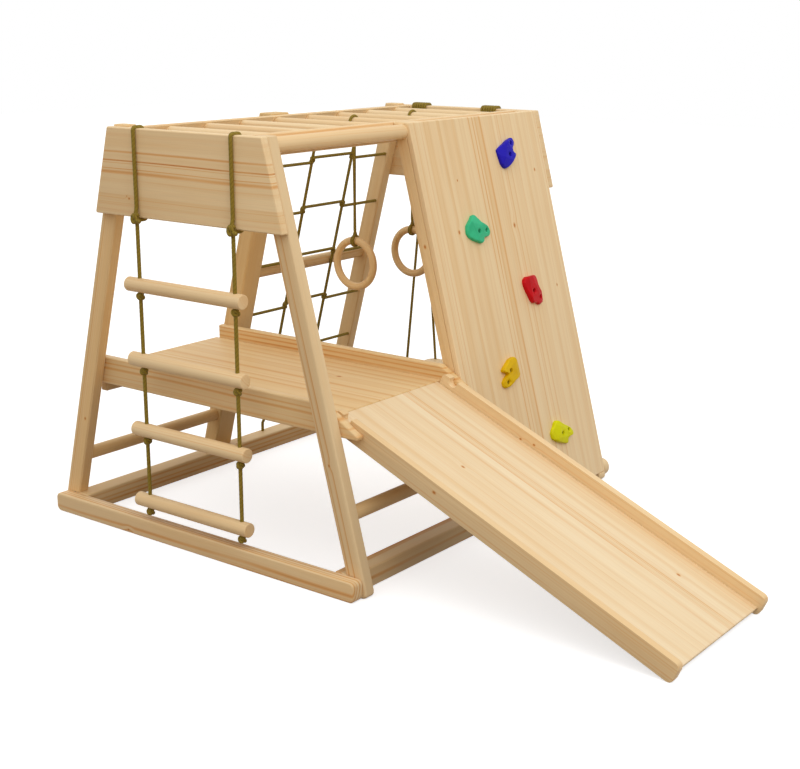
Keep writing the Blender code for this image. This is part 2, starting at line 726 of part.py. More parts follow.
def net_vertical(name, x):
    """One upright rope from the top rail to the base bar, thick where it is knotted."""
    outward = Vector((0, COS, SIN))
    down = Vector((0, 0, -1))
    top = Vector((x, inner(NET_TOP_Z), NET_TOP_Z)) + outward * GAP
    turned = top + outward * NET_TAIL
    points = [top, turned, turned + (outward / 4 + down) * NET_TAIL, net_place(x, NET_TOP_Z - NET_BEND)]
    swell = [1.0] * 4
    half = NET_KNOT_L / 2
    for z in NET_ROWS:
        for dz, size in ((half * 1.5, 1.0), (half, swell_knot), (-half, swell_knot), (-half * 1.5, 1.0)):
            points.append(net_place(x, z + dz))
            swell.append(size)
    foot_y = BASE_BAR_Y + BASE_BAR_W / 2 - NET_BASE_INSET
    for z in (BASE_BAR_H + NET_BEND, BASE_BAR_H + GAP):
        points.append(Vector((x, foot_y, z)))
        swell.append(1.0)
    return rope_curve(name, points, NET_ROPE_D, swell)


net = curve_to_mesh(net_vertical("rope_net", NET_VERTICALS[0]))
smooth(add(net, rope_fibre()))
join(net, guide(curve_to_mesh(net_vertical("net_vertical_2", NET_VERTICALS[1]))))
for row, z in enumerate(NET_ROWS):
    first_x, second_x = NET_VERTICALS
    spans = ((net_start, first_x, z - NET_STEP / 2), (first_x, second_x, z + NET_STEP / 2),
             (second_x, net_end, z - NET_STEP / 2))
    for part, (x0, x1, height) in enumerate(spans):
        span = rope_curve(f"net_row_{row + 1}_{part + 1}", [net_place(x0, height), net_place(x1, height)],
                          NET_ROPE_D)
        join(net, guide(curve_to_mesh(span)))

# A rope's round upper end: how far each point lies past the end's centre, and its thickness, as multiples
ROUND_END = ((1.0, 0.15), (0.75, 0.62), (0.4, 0.9))

# Rope ladder: two loops round the end board stay put, and the ropes and rungs swing below their knots
rope_r = LADDER_ROPE_D / 2
face_x = END_BAR_T / 2 - BOARD_T
back_x = END_BAR_T / 2
rope_x = face_x - GAP - rope_r
knot_r = LADDER_LOOP_KNOT_D / 2
knot_x = face_x - GAP - knot_r
hang_z = BOARD_BOTTOM - math.sqrt(knot_r ** 2 - (rope_x - knot_x) ** 2) - GAP - rope_r


def board_arc(x, z, start, steps=4):
    """Quarter turn of the rope round a corner of the board."""
    r = rope_r + GAP
    turns = [start - math.pi / 2 * k / steps for k in range(steps + 1)]
    return [(x + r * math.cos(a), z + r * math.sin(a)) for a in turns]


ladder_pivot = pivot("ladder_pivot", (rope_x, 0, hang_z))
ladder_rope_y = {"left": rail_face(FRAME_H) - LADDER_ROPE_INSET["left"],
                 "right": LADDER_ROPE_INSET["right"] - rail_face(FRAME_H)}
for word, y in ladder_rope_y.items():
    route = [(knot_x, BOARD_BOTTOM - knot_r * 0.85), (knot_x, BOARD_BOTTOM - knot_r * 0.45),
             (knot_x, BOARD_BOTTOM + knot_r * 0.45), (knot_x, BOARD_BOTTOM + knot_r * 0.85),
             (rope_x, BOARD_BOTTOM + knot_r * 2.2)]
    knot_swell = knot_r / rope_r
    swell = [knot_swell * 0.5, knot_swell * 0.92, knot_swell * 0.92, knot_swell * 0.5, 1.0]
    over = board_arc(face_x, FRAME_H, math.pi) + board_arc(back_x, FRAME_H, math.pi / 2)
    under = board_arc(back_x, BOARD_BOTTOM, 0.0) + [(face_x + 0.004, BOARD_BOTTOM - rope_r - GAP)]
    route += over + under
    swell += [1.0] * (len(over) + len(under))
    rope(f"ladder_loop_{word}", [(x, y, z) for x, z in route], LADDER_ROPE_D, swell)

    points = [(hang_z + rope_r * share, size) for share, size in ROUND_END] + [(hang_z, 1.0)]
    bulge = LADDER_KNOT_D / LADDER_ROPE_D
    for rung_z in LADDER_RUNG_Z:
        knot_z = rung_z - LADDER_RUNG_D / 2 - GAP - LADDER_KNOT_H / 2
        half = LADDER_KNOT_H / 2
        points += [(knot_z + half, 1.0), (knot_z + half * 0.75, bulge * 0.75), (knot_z + half * 0.3, bulge),
                   (knot_z - half * 0.3, bulge), (knot_z - half * 0.75, bulge * 0.75)]
        if rung_z == LADDER_RUNG_Z[-1]:
            points += [(knot_z - half, bulge * 0.35)]
        else:
            points += [(knot_z - half, 1.0)]
    hang(rope(f"ladder_rope_{word}", [(rope_x, y, z) for z, size in points], LADDER_ROPE_D,
              [size for z, size in points]), ladder_pivot)

holes_end = LADDER_RUNG_Z[-1] - LADDER_RUNG_D
rope_holes = guide(rods_mesh("ladder_rope_holes", [((rope_x, y, BOARD_BOTTOM), (rope_x, y, holes_end))
                                                   for y in ladder_rope_y.values()], rope_r + GAP, 12))
rung_left = ladder_rope_y["left"] + LADDER_RUNG_OVERHANG["left"]
rung_right = ladder_rope_y["right"] - LADDER_RUNG_OVERHANG["right"]
for k, z in enumerate(LADDER_RUNG_Z):
    rung = rod(f"ladder_rung_{k + 1}", (rope_x, rung_right, z), (rope_x, rung_left, z), LADDER_RUNG_D,
               turned_pine(), LADDER_RUNG_EDGE)
    cut(rung, rope_holes)
    hang(rung, ladder_pivot)

# Rings: each hangs from a monkey bar by a closed loop of rope and swings about that bar
ring_r = (RING_D - RING_TUBE_D) / 2
for number, rung in enumerate(RING_RUNGS, 1):
    x = rung_x[rung]
    ring_pivot = pivot(f"ring_pivot_{number}", (x, RING_Y, RUNG_Z))
    bpy.ops.mesh.primitive_torus_add(major_segments=32, minor_segments=10, major_radius=ring_r,
                                     minor_radius=RING_TUBE_D / 2)
    ring = bpy.context.active_object
    ring.users_collection[0].objects.unlink(ring)
    ring.name = f"ring_{number}"
    ring.data.transform(Matrix.Rotation(math.pi / 2, 4, "Y"))
    smooth(add(ring, turned_pine()))
    ring.location = (x, RING_Y, RING_Z)
    hang(ring, ring_pivot)

    tube_z = RING_Z + ring_r
    top_r = RUNG_D / 2 + GAP + RING_ROPE_D / 2
    low_r = RING_TUBE_D / 2 + GAP + RING_ROPE_D / 2
    half = RING_ROPE_APART / 2
    bar_arc = circle((0, RUNG_Z), top_r, 11, math.radians(-35), math.radians(250))
    ring_arc = circle((0, tube_z), low_r, 11, math.radians(145), math.radians(250))
    route = [*bar_arc, (-half, RUNG_Z - RING_ROPE_JOIN), (-half, tube_z + RING_ROPE_PART), *ring_arc,
             (half, tube_z + RING_ROPE_PART), (half, RUNG_Z - RING_ROPE_JOIN)]
    hang(rope(f"ring_rope_{number}", [(x + u, RING_Y, v) for u, v in route], RING_ROPE_D, cyclic=True),
         ring_pivot)

# Swing: rope wound round the end board, and four ropes that carry the seat below it
swing_x = FAR_X + BOARD_T / 2
wound_r = SWING_ROPE_D / 2
wind_pitch = SWING_ROPE_D + WIND_SPACING
wind_y = rail_face(FRAME_H) - WIND_RAIL_GAP - wind_pitch * WIND_TURNS / 2 - wound_r - SWING_Y
strand_top_y = wind_y - STRAND_INSET
strand_top = BOARD_BOTTOM - GAP - SWING_ROPE_D - GAP - wound_r + STRAND_LIFT


def wound_loop():
    """One turn round the board's section: four rounded corners and a point on each face."""
    half_x = BOARD_T / 2 + GAP + wound_r
    low = BOARD_BOTTOM - GAP - wound_r
    high = FRAME_H + GAP + wound_r
    bend = wound_r + BOARD_EDGE
    centres = [(-half_x + bend, low + bend), (-half_x + bend, high - bend), (half_x - bend, high - bend),
               (half_x - bend, low + bend)]
    points = []
    for k, (cx, cz) in enumerate(centres):
        start = -math.pi / 2 - k * math.pi / 2
        points += [(cx + bend * math.cos(start - a), cz + bend * math.sin(start - a))
                   for a in np.linspace(0, math.pi / 2, 4)]
        next_x, next_z = centres[(k + 1) % 4]
        last = points[-1]
        after = start - math.pi / 2
        ahead = (next_x + bend * math.cos(after), next_z + bend * math.sin(after))
        points.append(((last[0] + ahead[0]) / 2, (last[1] + ahead[1]) / 2))
    return points


def winding(name, y_mid):
    loop = wound_loop()
    count = len(loop)
    total = WIND_TURNS * count
    first = y_mid - wind_pitch * WIND_TURNS / 2
    points = np.array([(swing_x + loop[i % count][0], first + wind_pitch * i / count, loop[i % count][1])
                       for i in range(total + 1)])
    gaps = []
    for i in range(total + 1 - count // 2):
        ahead = points[i + count // 2:]
        along = ahead[1:] - ahead[:-1]
        if len(along) == 0:
            continue
        share = np.clip(((points[i] - ahead[:-1]) * along).sum(1) / (along ** 2).sum(1), 0, 1)
        near = ahead[:-1] + share[:, None] * along
        gaps.append(np.linalg.norm(points[i] - near, axis=1).min() - SWING_ROPE_D)
    print(f"{name}: least gap between turns {min(gaps) * 1000:.2f} mm")
    return rope(name, [tuple(p) for p in points], SWING_ROPE_D, resolution=1)


for word, side in (("back", 1), ("front", -1)):
    winding(f"swing_winding_{word}", SWING_Y + side * wind_y)

swing_pivot = pivot("swing_pivot", (swing_x, SWING_Y, strand_top))
seat_low = SEAT_TOP - SEAT_T
hole_x, hole_y = SEAT_W / 2 - SEAT_HOLE_INSET_X, SEAT_L / 2 - SEAT_HOLE_INSET_Y
corners = [(-SEAT_W / 2, -SEAT_L / 2), (SEAT_W / 2, -SEAT_L / 2), (SEAT_W / 2, SEAT_L / 2),
           (-SEAT_W / 2, SEAT_L / 2)]
seat_holes = [circle((a * hole_x, b * hole_y), SWING_ROPE_D / 2 + GAP, 12)
              for a in (-1, 1) for b in (-1, 1)]
seat = add(flat_shape("swing_seat", [rounded(corners, [SEAT_CORNER] * 4, 5), *seat_holes], SEAT_T,
                      Matrix.Translation((swing_x, SWING_Y, SEAT_TOP - SEAT_T / 2)), SEAT_EDGE), pine())
hang(seat, swing_pivot)

# Each rope's round upper end is centred on the swing's axis, the two of a pair side by side along it
knot_bulge = SEAT_KNOT_D / SWING_ROPE_D
SEAT_KNOT = ((0.0, 1.0), (0.2, knot_bulge * 0.8), (0.45, knot_bulge), (0.75, knot_bulge),
             (1.0, knot_bulge * 0.6))
for along, along_word in ((-1, "inner"), (1, "outer")):
    for side, side_word in ((1, "back"), (-1, "front")):
        apart = side * along * (SWING_ROPE_D + STRAND_CLEAR) / 2
        top = Vector((swing_x, SWING_Y + side * strand_top_y - apart, strand_top))
        above = Vector((swing_x + along * hole_x, SWING_Y + side * hole_y, SEAT_TOP + wound_r))
        down = (above - top).normalized()
        points = [top - down * wound_r * share for share, size in ROUND_END]
        swell = [size for share, size in ROUND_END]
        points += [top.lerp(above, k / 6) for k in range(7)]
        swell += [1.0] * 7
        for share, size in SEAT_KNOT:
            points.append(Vector((above.x, above.y, seat_low - GAP - SEAT_KNOT_L * share)))
            swell.append(size)
        hang(rope(f"swing_rope_{along_word}_{side_word}", points, SWING_ROPE_D, swell), swing_pivot)
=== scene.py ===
"""Looks of a kids indoor gym of pine: frame, deck and slide, climbing wall, net, ladder, rings and swing.

Everything is in metres in the CAD model's frame: +X from the rope ladder to the swing, +Y from the slide
to the net, +Z up. The CAD model is a fixed frame, and each section dresses one group of its pieces.
"""

import json
import math

import bmesh
import bpy
import numpy as np
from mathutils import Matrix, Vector

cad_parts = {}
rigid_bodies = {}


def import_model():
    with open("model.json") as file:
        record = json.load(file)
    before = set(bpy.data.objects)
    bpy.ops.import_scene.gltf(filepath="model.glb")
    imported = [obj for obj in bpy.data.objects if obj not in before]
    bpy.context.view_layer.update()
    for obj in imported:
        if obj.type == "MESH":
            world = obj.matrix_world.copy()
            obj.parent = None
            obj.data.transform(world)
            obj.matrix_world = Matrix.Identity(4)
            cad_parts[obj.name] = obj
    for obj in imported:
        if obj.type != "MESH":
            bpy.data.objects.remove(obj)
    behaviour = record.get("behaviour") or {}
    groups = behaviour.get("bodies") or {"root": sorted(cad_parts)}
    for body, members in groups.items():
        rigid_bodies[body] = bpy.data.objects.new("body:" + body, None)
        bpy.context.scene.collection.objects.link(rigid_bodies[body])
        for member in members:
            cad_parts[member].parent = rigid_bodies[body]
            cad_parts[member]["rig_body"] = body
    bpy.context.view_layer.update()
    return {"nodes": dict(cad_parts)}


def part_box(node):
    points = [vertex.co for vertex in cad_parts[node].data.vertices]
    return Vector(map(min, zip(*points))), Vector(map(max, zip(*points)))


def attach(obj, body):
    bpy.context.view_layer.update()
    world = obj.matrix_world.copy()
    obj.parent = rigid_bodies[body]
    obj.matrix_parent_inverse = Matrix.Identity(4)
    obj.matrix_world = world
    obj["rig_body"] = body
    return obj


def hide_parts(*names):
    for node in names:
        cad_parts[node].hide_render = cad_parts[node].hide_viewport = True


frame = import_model()
nodes = frame["nodes"]

# Floor bars. Planed softwood bars lie flat on the floor, one across each end and one along each side, with
# rounded ends and eased edges under a thin clear matt lacquer. Their grain runs along them.
EASE = 0.0009


def tint(red, green, blue):
    """A display colour, 0 to 255, as the linear colour that shaders take."""
    share = np.array((red, green, blue)) / 255
    linear = np.where(share <= 0.04045, share / 12.92, ((share + 0.055) / 1.055) ** 2.4)
    return (*linear.tolist(), 1.0)


def add_node(tree, kind, inputs=None, **settings):
    """Add a shader node with its settings, and set or link its inputs by name or number."""
    node = tree.nodes.new("ShaderNode" + kind)
    for key, value in settings.items():
        setattr(node, key, value)
    for key, value in (inputs or {}).items():
        if isinstance(value, bpy.types.NodeSocket):
            tree.links.new(value, node.inputs[key])
        else:
            node.inputs[key].default_value = value
    return node


def sum_of(tree, operation, *values):
    """A Math node on one, two or three values."""
    return add_node(tree, "Math", dict(enumerate(values)), operation=operation).outputs[0]


def vector_of(tree, operation, *values):
    """A Vector Math node, which gives its number for LENGTH and its vector for the rest."""
    node = add_node(tree, "VectorMath", dict(enumerate(values)), operation=operation)
    return node.outputs["Value" if operation in ("LENGTH", "DISTANCE") else "Vector"]


def step_of(tree, value, low, high, start=0.0, end=1.0):
    """Smooth step of a value from low to high, which goes from start to end."""
    inputs = {"Value": value, "From Min": low, "From Max": high, "To Min": start, "To Max": end}
    return add_node(tree, "MapRange", inputs, interpolation_type="SMOOTHSTEP").outputs[0]


def mix_of(tree, share, first, second, blend="MIX"):
    """A colour mix of two colours."""
    node = add_node(tree, "Mix", data_type="RGBA", blend_type=blend)
    for key, value in (("Factor_Float", share), ("A_Color", first), ("B_Color", second)):
        socket = next(s for s in node.inputs if s.identifier == key)
        if isinstance(value, bpy.types.NodeSocket):
            tree.links.new(value, socket)
        else:
            socket.default_value = value
    return next(s for s in node.outputs if s.identifier == "Result_Color")


def noise_of(tree, scale, detail=2.0, roughness=0.5, **place):
    """Noise of a vector, or of one number with W."""
    settings = {"noise_dimensions": "1D" if "W" in place else "3D"}
    inputs = {**place, "Scale": scale, "Detail": detail, "Roughness": roughness}
    return add_node(tree, "TexNoise", inputs, **settings).outputs["Fac"]


PINE_PALE = tint(242, 216, 172)
PINE_HONEY = tint(229, 190, 134)
PINE_LINE = tint(223, 165, 96)
PINE_DARK_LINE = tint(186, 106, 44)
KNOT_RIM = tint(224, 172, 108)
KNOT_CORE = tint(198, 126, 64)

# Scales of the grain's noise, along and across the grain, and of the noise that draws the rings.
FIBRE = (9.0, 480.0)
CLOUD = (1.6, 12.0)
PATCH = (1.1, 16.0)
DASH = (5.0, 130.0)
FADE = (2.3, 30.0)
WANDER = (1.5, 4.0, 4.0)
BROAD_RINGS = 32.0
FINE_RINGS = 120.0


def pine_pattern():
    """Node group for pine. Its point has X along the grain and its origin on the log's heart line.

    Ring distance = distance from the heart line + slow noise + push round a knot. Faint growth lines are
    one-dimensional noise of that distance, so each keeps its width along the board, and they fade in and
    out over the board with a mask of slow noise.
    """
    group = bpy.data.node_groups.new("pine_grain", "ShaderNodeTree")
    group.interface.new_socket("Point", in_out="INPUT", socket_type="NodeSocketVector")
    for name in ("Ring", "Knot", "Lines", "Figure"):
        group.interface.new_socket(name, in_out="INPUT", socket_type="NodeSocketFloat")
    group.interface.new_socket("Color", in_out="OUTPUT", socket_type="NodeSocketColor")
    for name in ("Height", "Roughness"):
        group.interface.new_socket(name, in_out="OUTPUT", socket_type="NodeSocketFloat")
    given = group.nodes.new("NodeGroupInput").outputs
    point, ring = given["Point"], given["Ring"]

    def stretched(along, across, detail=2.0):
        place = vector_of(group, "MULTIPLY", point, (along, across, across))
        return noise_of(group, 1.0, detail, Vector=place)

    fibre = stretched(*FIBRE)
    cloud = stretched(*CLOUD)
    mask = step_of(group, stretched(*PATCH), 0.38, 0.62, 0.25, 1.0)
    dashes = step_of(group, stretched(*DASH, 1.0), 0.62, 0.78)
    broad = noise_of(group, BROAD_RINGS, 2.0, W=ring)
    fine = noise_of(group, FINE_RINGS, 3.0, 0.55, W=ring)
    honey = sum_of(group, "MULTIPLY_ADD", step_of(group, broad, 0.36, 0.74), 0.45,
                   step_of(group, cloud, 0.3, 0.8, 0.0, 0.35))
    color = mix_of(group, honey, PINE_PALE, PINE_HONEY)
    figure = sum_of(group, "MULTIPLY", mask, given["Figure"])
    faint = sum_of(group, "MULTIPLY", step_of(group, fine, 0.50, 0.72), figure)
    color = mix_of(group, faint, color, PINE_LINE)
    color = mix_of(group, sum_of(group, "MULTIPLY", dashes, 0.10), color, PINE_LINE)
    fade = step_of(group, stretched(*FADE), 0.3, 0.6, 0.5, 1.0)
    lines = sum_of(group, "MULTIPLY", given["Lines"], fade)
    color = mix_of(group, step_of(group, lines, 0.0, 0.6, 0.0, 0.85), color, PINE_LINE)
    color = mix_of(group, step_of(group, lines, 0.5, 1.0, 0.0, 0.9), color, PINE_DARK_LINE)
    shade = step_of(group, fibre, 0.25, 0.75, 0.965, 1.02)
    gray = add_node(group, "CombineColor", {"Red": shade, "Green": shade, "Blue": shade}).outputs[0]
    color = mix_of(group, 1.0, color, gray, "MULTIPLY")
    color = mix_of(group, step_of(group, given["Knot"], 0.0, 0.5, 0.0, 0.7), color, KNOT_RIM)
    color = mix_of(group, step_of(group, given["Knot"], 0.55, 0.9), color, KNOT_CORE)
    height = sum_of(group, "MULTIPLY_ADD", fibre, 0.6, sum_of(group, "MULTIPLY", faint, -0.6))
    rough = step_of(group, fibre, 0.2, 0.8, 0.46, 0.60)
    end = group.nodes.new("NodeGroupOutput").inputs
    for name, value in (("Color", color), ("Height", height), ("Roughness", rough)):
        group.links.new(value, end[name])
    return group


PINE_GRAIN = pine_pattern()


def finish_of(name):
    """A new material, its node tree and its Principled shader, on the piece's Object coordinates."""
    material = bpy.data.materials.new(name)
    material.use_nodes = True
    tree = material.node_tree
    shader = tree.nodes["Principled BSDF"]
    place = add_node(tree, "TexCoord").outputs["Object"]
    return material, tree, shader, place


RAMP_LINES = 10
LEAST_SPAN = 0.001
STOP_GAP = 0.0001


def lines_of(tree, ring, lines):
    """Strength of single growth lines at a ring distance, by colour ramps of a few lines each.

    A line is (distance, half width, strength), and its strength falls evenly to nothing at its half width.
    """
    strength = 0.0
    lines = sorted(lines)
    for first in range(0, len(lines), RAMP_LINES):
        some = lines[first:first + RAMP_LINES]
        low = some[0][0] - some[0][1]
        span = max(some[-1][0] + some[-1][1] - low, LEAST_SPAN)
        reach = {"Value": ring, "From Min": low, "From Max": low + span}
        share = add_node(tree, "MapRange", reach).outputs[0]
        ramp = add_node(tree, "ValToRGB", {"Fac": share})
        stops = [(low, 0.0)]
        for middle, half, peak in some:
            start = max(middle - half, stops[-1][0] + STOP_GAP)
            stops += [(start, 0.0), (middle, peak), (middle + half, 0.0)]
        marks = ramp.color_ramp.elements
        marks[0].color = marks[1].color = (0.0, 0.0, 0.0, 1.0)
        for place, level in stops[2:-1]:
            marks.new((place - low) / span).color = (level, level, level, 1.0)
        strength = sum_of(tree, "MAXIMUM", strength, ramp.outputs["Color"])
    return strength


KNOT_LENGTH = 0.7
KNOT_REACH = 4.0
KNOT_PUSH = 0.9
KNOT_INNER, KNOT_OUTER = 0.15, 1.15
WARM_GREEN = 0.32


def pine_finish(name, along, heart, seed, knots=(), lines=(), tone=1.0, warm=0.035, place=None, wave=0.012,
                figure=0.45):
    """Pine whose grain runs along a direction, with the log's heart line through the point given.

    Knots are (x, y, z, radius). Lines are (ring distance, half width, strength). Wave is how far slow noise
    moves the rings and figure how strong the faint growth lines are. Tone scales the whole colour, and warm
    is the share of its blue that is taken away, with WARM_GREEN of that share from its green. On pieces that
    stand in the frame's shade, a lower tone and a larger warm are painted shade, and on the slide's bed a
    warm below nought is painted sheen. Place names a mesh attribute to read the grain's point from, on a
    piece that is bent along the grain.
    """
    rng = np.random.default_rng(seed)
    material, tree, shader, coords = finish_of("pine_" + name)
    turn = Vector(along).rotation_difference(Vector((1, 0, 0))).to_matrix()
    shift = Vector((rng.uniform(2, 9), 0, 0)) - turn @ Vector(heart)
    if place is None:
        point = add_node(tree, "Mapping", {"Vector": coords, "Location": shift, "Rotation": turn.to_euler()},
                         vector_type="POINT").outputs[0]
    else:
        point = add_node(tree, "Attribute", attribute_name=place).outputs["Vector"]
    wander = noise_of(tree, 1.0, 1.5, Vector=vector_of(tree, "MULTIPLY", point, WANDER))
    ring = vector_of(tree, "LENGTH", vector_of(tree, "MULTIPLY", point, (0.0, 1.0, 1.0)))
    ring = sum_of(tree, "MULTIPLY_ADD", sum_of(tree, "SUBTRACT", wander, 0.5), wave, ring)
    knot = 0.0
    for *spot, radius in knots:
        away = vector_of(tree, "SUBTRACT", point, turn @ Vector(spot) + shift)
        away = vector_of(tree, "LENGTH", vector_of(tree, "MULTIPLY", away, (KNOT_LENGTH, 1.0, 1.0)))
        push = step_of(tree, away, 0.0, radius * KNOT_REACH, radius * KNOT_PUSH, 0.0)
        ring = sum_of(tree, "ADD", ring, push)
        round_ = step_of(tree, away, radius * KNOT_INNER, radius * KNOT_OUTER, 1.0, 0.0)
        knot = sum_of(tree, "MAXIMUM", knot, round_)
    marks = lines_of(tree, ring, lines)
    inputs = {"Point": point, "Ring": ring, "Knot": knot, "Lines": marks, "Figure": figure}
    grain = add_node(tree, "Group", inputs, node_tree=PINE_GRAIN).outputs
    # On pieces in shade this tone and warm are painted shade, and on the slide's bed a warm below nought is
    # painted sheen.
    shade = (tone, tone * (1 - warm * WARM_GREEN), tone * (1 - warm), 1.0)
    color = mix_of(tree, 1.0, grain["Color"], shade, "MULTIPLY")
    bump = add_node(tree, "Bump", {"Height": grain["Height"], "Strength": 0.12, "Distance": 0.0008})
    tree.links.new(color, shader.inputs["Base Color"])
    tree.links.new(grain["Roughness"], shader.inputs["Roughness"])
    tree.links.new(bump.outputs[0], shader.inputs["Normal"])
    shader.inputs["Specular IOR Level"].default_value = 0.35
    return material


SMALL_KNOT = 0.0045


def spots_on(name, count, seed):
    """A few small knots at places picked by area on a piece's own faces."""
    rng = np.random.default_rng(seed)
    mesh = nodes[name].data
    area = np.array([p.area for p in mesh.polygons])
    picked = rng.choice(len(area), size=count, p=area / area.sum())
    found = []
    for index in picked:
        corners = np.array([mesh.vertices[v].co for v in mesh.polygons[index].vertices])
        share = rng.dirichlet(np.ones(len(corners)))
        found.append((*(share @ corners).tolist(), SMALL_KNOT * rng.uniform(0.7, 1.3)))
    return found


def dress(piece, name):
    """Show a piece in place of a CAD node, on the same body."""
    bpy.context.scene.collection.objects.link(piece)
    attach(piece, nodes[name]["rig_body"])
    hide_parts(name)


MERGE_REACH = 0.00001
FLAT_ANGLE = math.radians(0.3)
CHAMFER_ANGLE = math.radians(24)


def eased_board(name, finish, ease):
    """Show a merged copy of a CAD board, with its chamfers rounded, in place of it."""
    mesh = nodes[name].data.copy()
    work = bmesh.new()
    work.from_mesh(mesh)
    bmesh.ops.remove_doubles(work, verts=work.verts, dist=MERGE_REACH)
    bmesh.ops.dissolve_limit(work, angle_limit=FLAT_ANGLE, verts=work.verts, edges=work.edges)
    work.to_mesh(mesh)
    work.free()
    mesh.materials.clear()
    mesh.materials.append(finish)
    mesh.shade_smooth()
    piece = bpy.data.objects.new("shown_" + name, mesh)
    bevel = piece.modifiers.new("rounding", "BEVEL")
    bevel.width = ease
    bevel.segments = 2
    bevel.limit_method = "ANGLE"
    bevel.angle_limit = CHAMFER_ANGLE
    bevel.harden_normals = True
    dress(piece, name)


def middle_of(name):
    """The middle of a CAD node's box."""
    low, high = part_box(name)
    return (low + high) / 2


def pine_board(name, along, heart, seed, knots=0, spots=(), ease=EASE, **looks):
    """Dress a CAD board in pine, its heart line at a given offset from its middle.

    Spots are knots at known places, moved onto the board's surface, and knots is how many small ones lie
    anywhere on it.
    """
    spots = [(*nodes[name].closest_point_on_mesh(Vector(place))[1], radius) for *place, radius in spots]
    places = [*spots, *spots_on(name, knots, seed + 100)]
    finish = pine_finish(name, along, middle_of(name) + Vector(heart), seed, places, **looks)
    eased_board(name, finish, ease)


ALONG_X = (1, 0, 0)
ALONG_Y = (0, 1, 0)
SIDE_BAR_LINES = ((0.035, 0.004, 0.7), (0.05, 0.005, 0.8), (0.062, 0.004, 0.6), (0.078, 0.005, 0.7))
pine_board("base_bar_ladder_end", ALONG_Y, (-0.07, 0, 0.02), 3, 1, tone=0.96,
           lines=((0.058, 0.004, 0.75), (0.068, 0.003, 0.8), (0.079, 0.004, 0.75), (0.090, 0.004, 0.6)))
pine_board("base_bar_swing_end", ALONG_Y, (-0.07, 0, -0.02), 5, 1, lines=((0.06, 0.004, 0.5),), tone=0.97)
# The two long bars lie inside the frame in its shade, and their lower tone and larger warm are painted shade.
pine_board("base_bar_front", ALONG_X, (0, 0.03, -0.05), 7, 1, tone=0.88, figure=0.7, warm=0.1,
           lines=SIDE_BAR_LINES)
pine_board("base_bar_back", ALONG_X, (0, -0.02, -0.06), 11, 1, tone=0.88, figure=0.7, warm=0.16,
           lines=SIDE_BAR_LINES)

# Legs. Two A-shaped end frames of slim legs and a thicker pair in the middle carry everything. Each leg is
# one planed pine stick, its foot notched over the floor bar and its front cut away where the wall is let in.
LEAN = math.radians(14.9)
FINE_EASE = 0.0006
UP_FRONT = (0, math.sin(LEAN), math.cos(LEAN))
UP_BACK = (0, -math.sin(LEAN), math.cos(LEAN))
pine_board("leg_front_ladder_end", UP_FRONT, (0.03, 0.07, 0), 21, figure=0.6, tone=0.93,
           lines=((0.052, 0.002, 0.5), (0.060, 0.003, 0.8), (0.070, 0.003, 0.7), (0.084, 0.003, 0.7)),
           spots=((0.0203, -0.4678, 0.3361, 0.0045),))
# The middle front leg's larger warm is painted shade, for its side in the wall's shade.
pine_board("leg_front_middle", UP_FRONT, (0.02, 0.07, 0), 23, ease=FINE_EASE, tone=0.97, warm=0.12,
           figure=0.3, spots=((0.5913, -0.3426, 0.8091, 0.006),))
pine_board("leg_front_swing_end", UP_FRONT, (0.04, 0.05, 0), 27, 1)
# The back legs stand behind the frame in its shade, and their lower tone and larger warm are painted shade.
pine_board("leg_back_ladder_end", UP_BACK, (-0.05, -0.05, 0), 29, 1, tone=0.96, warm=0.16,
           lines=((0.07, 0.003, 0.5),))
pine_board("leg_back_middle", UP_BACK, (0.03, 0.06, 0), 31, 1, tone=0.86, warm=0.3)
pine_board("leg_back_swing_end", UP_BACK, (-0.05, 0.03, 0), 37, 1, tone=0.95, warm=0.15)

# End boards. One wide pine board closes the top of each end frame, its ends cut to the legs' slope. The
# grain lies level, plain at the top, with bold orange lines a third of the way down the ladder's board.
FAR_HEART = 1.0
pine_board("end_board_ladder", ALONG_Y, (0, 0, FAR_HEART), 41, wave=0.016, figure=0.3,
           spots=((-0.0105, 0.206, 0.962, 0.0044), (-0.0105, 0.215, 0.968, 0.0024)),
           lines=((0.9, 0.010, 0.18), (0.947, 0.0050, 0.7), (0.9705, 0.0032, 1.1), (0.977, 0.002, 0.5),
                  (0.9925, 0.0024, 0.7), (1.0015, 0.008, 0.7), (1.034, 0.003, 0.2), (1.072, 0.0016, 0.42),
                  (1.0905, 0.002, 0.36), (1.106, 0.010, 0.28)))
pine_board("end_board_swing", ALONG_Y, (0, 0, FAR_HEART), 43, 1, tone=0.97, wave=0.016, figure=0.35,
           lines=((0.93, 0.003, 0.5), (0.955, 0.0016, 0.5), (1.02, 0.006, 0.3), (1.06, 0.002, 0.4)))

# Top rails and monkey bars. Two pine rails run along the tops of the legs inside them, and eight turned
# dowels are glued into blind holes between the rails for hands to swing along.
BARS = 8
BAR_SIDES = 64
END_STEPS = 5
BAR_EASE = 0.001
BAR_HEART = 0.06
SHARP_EDGE = math.radians(50)


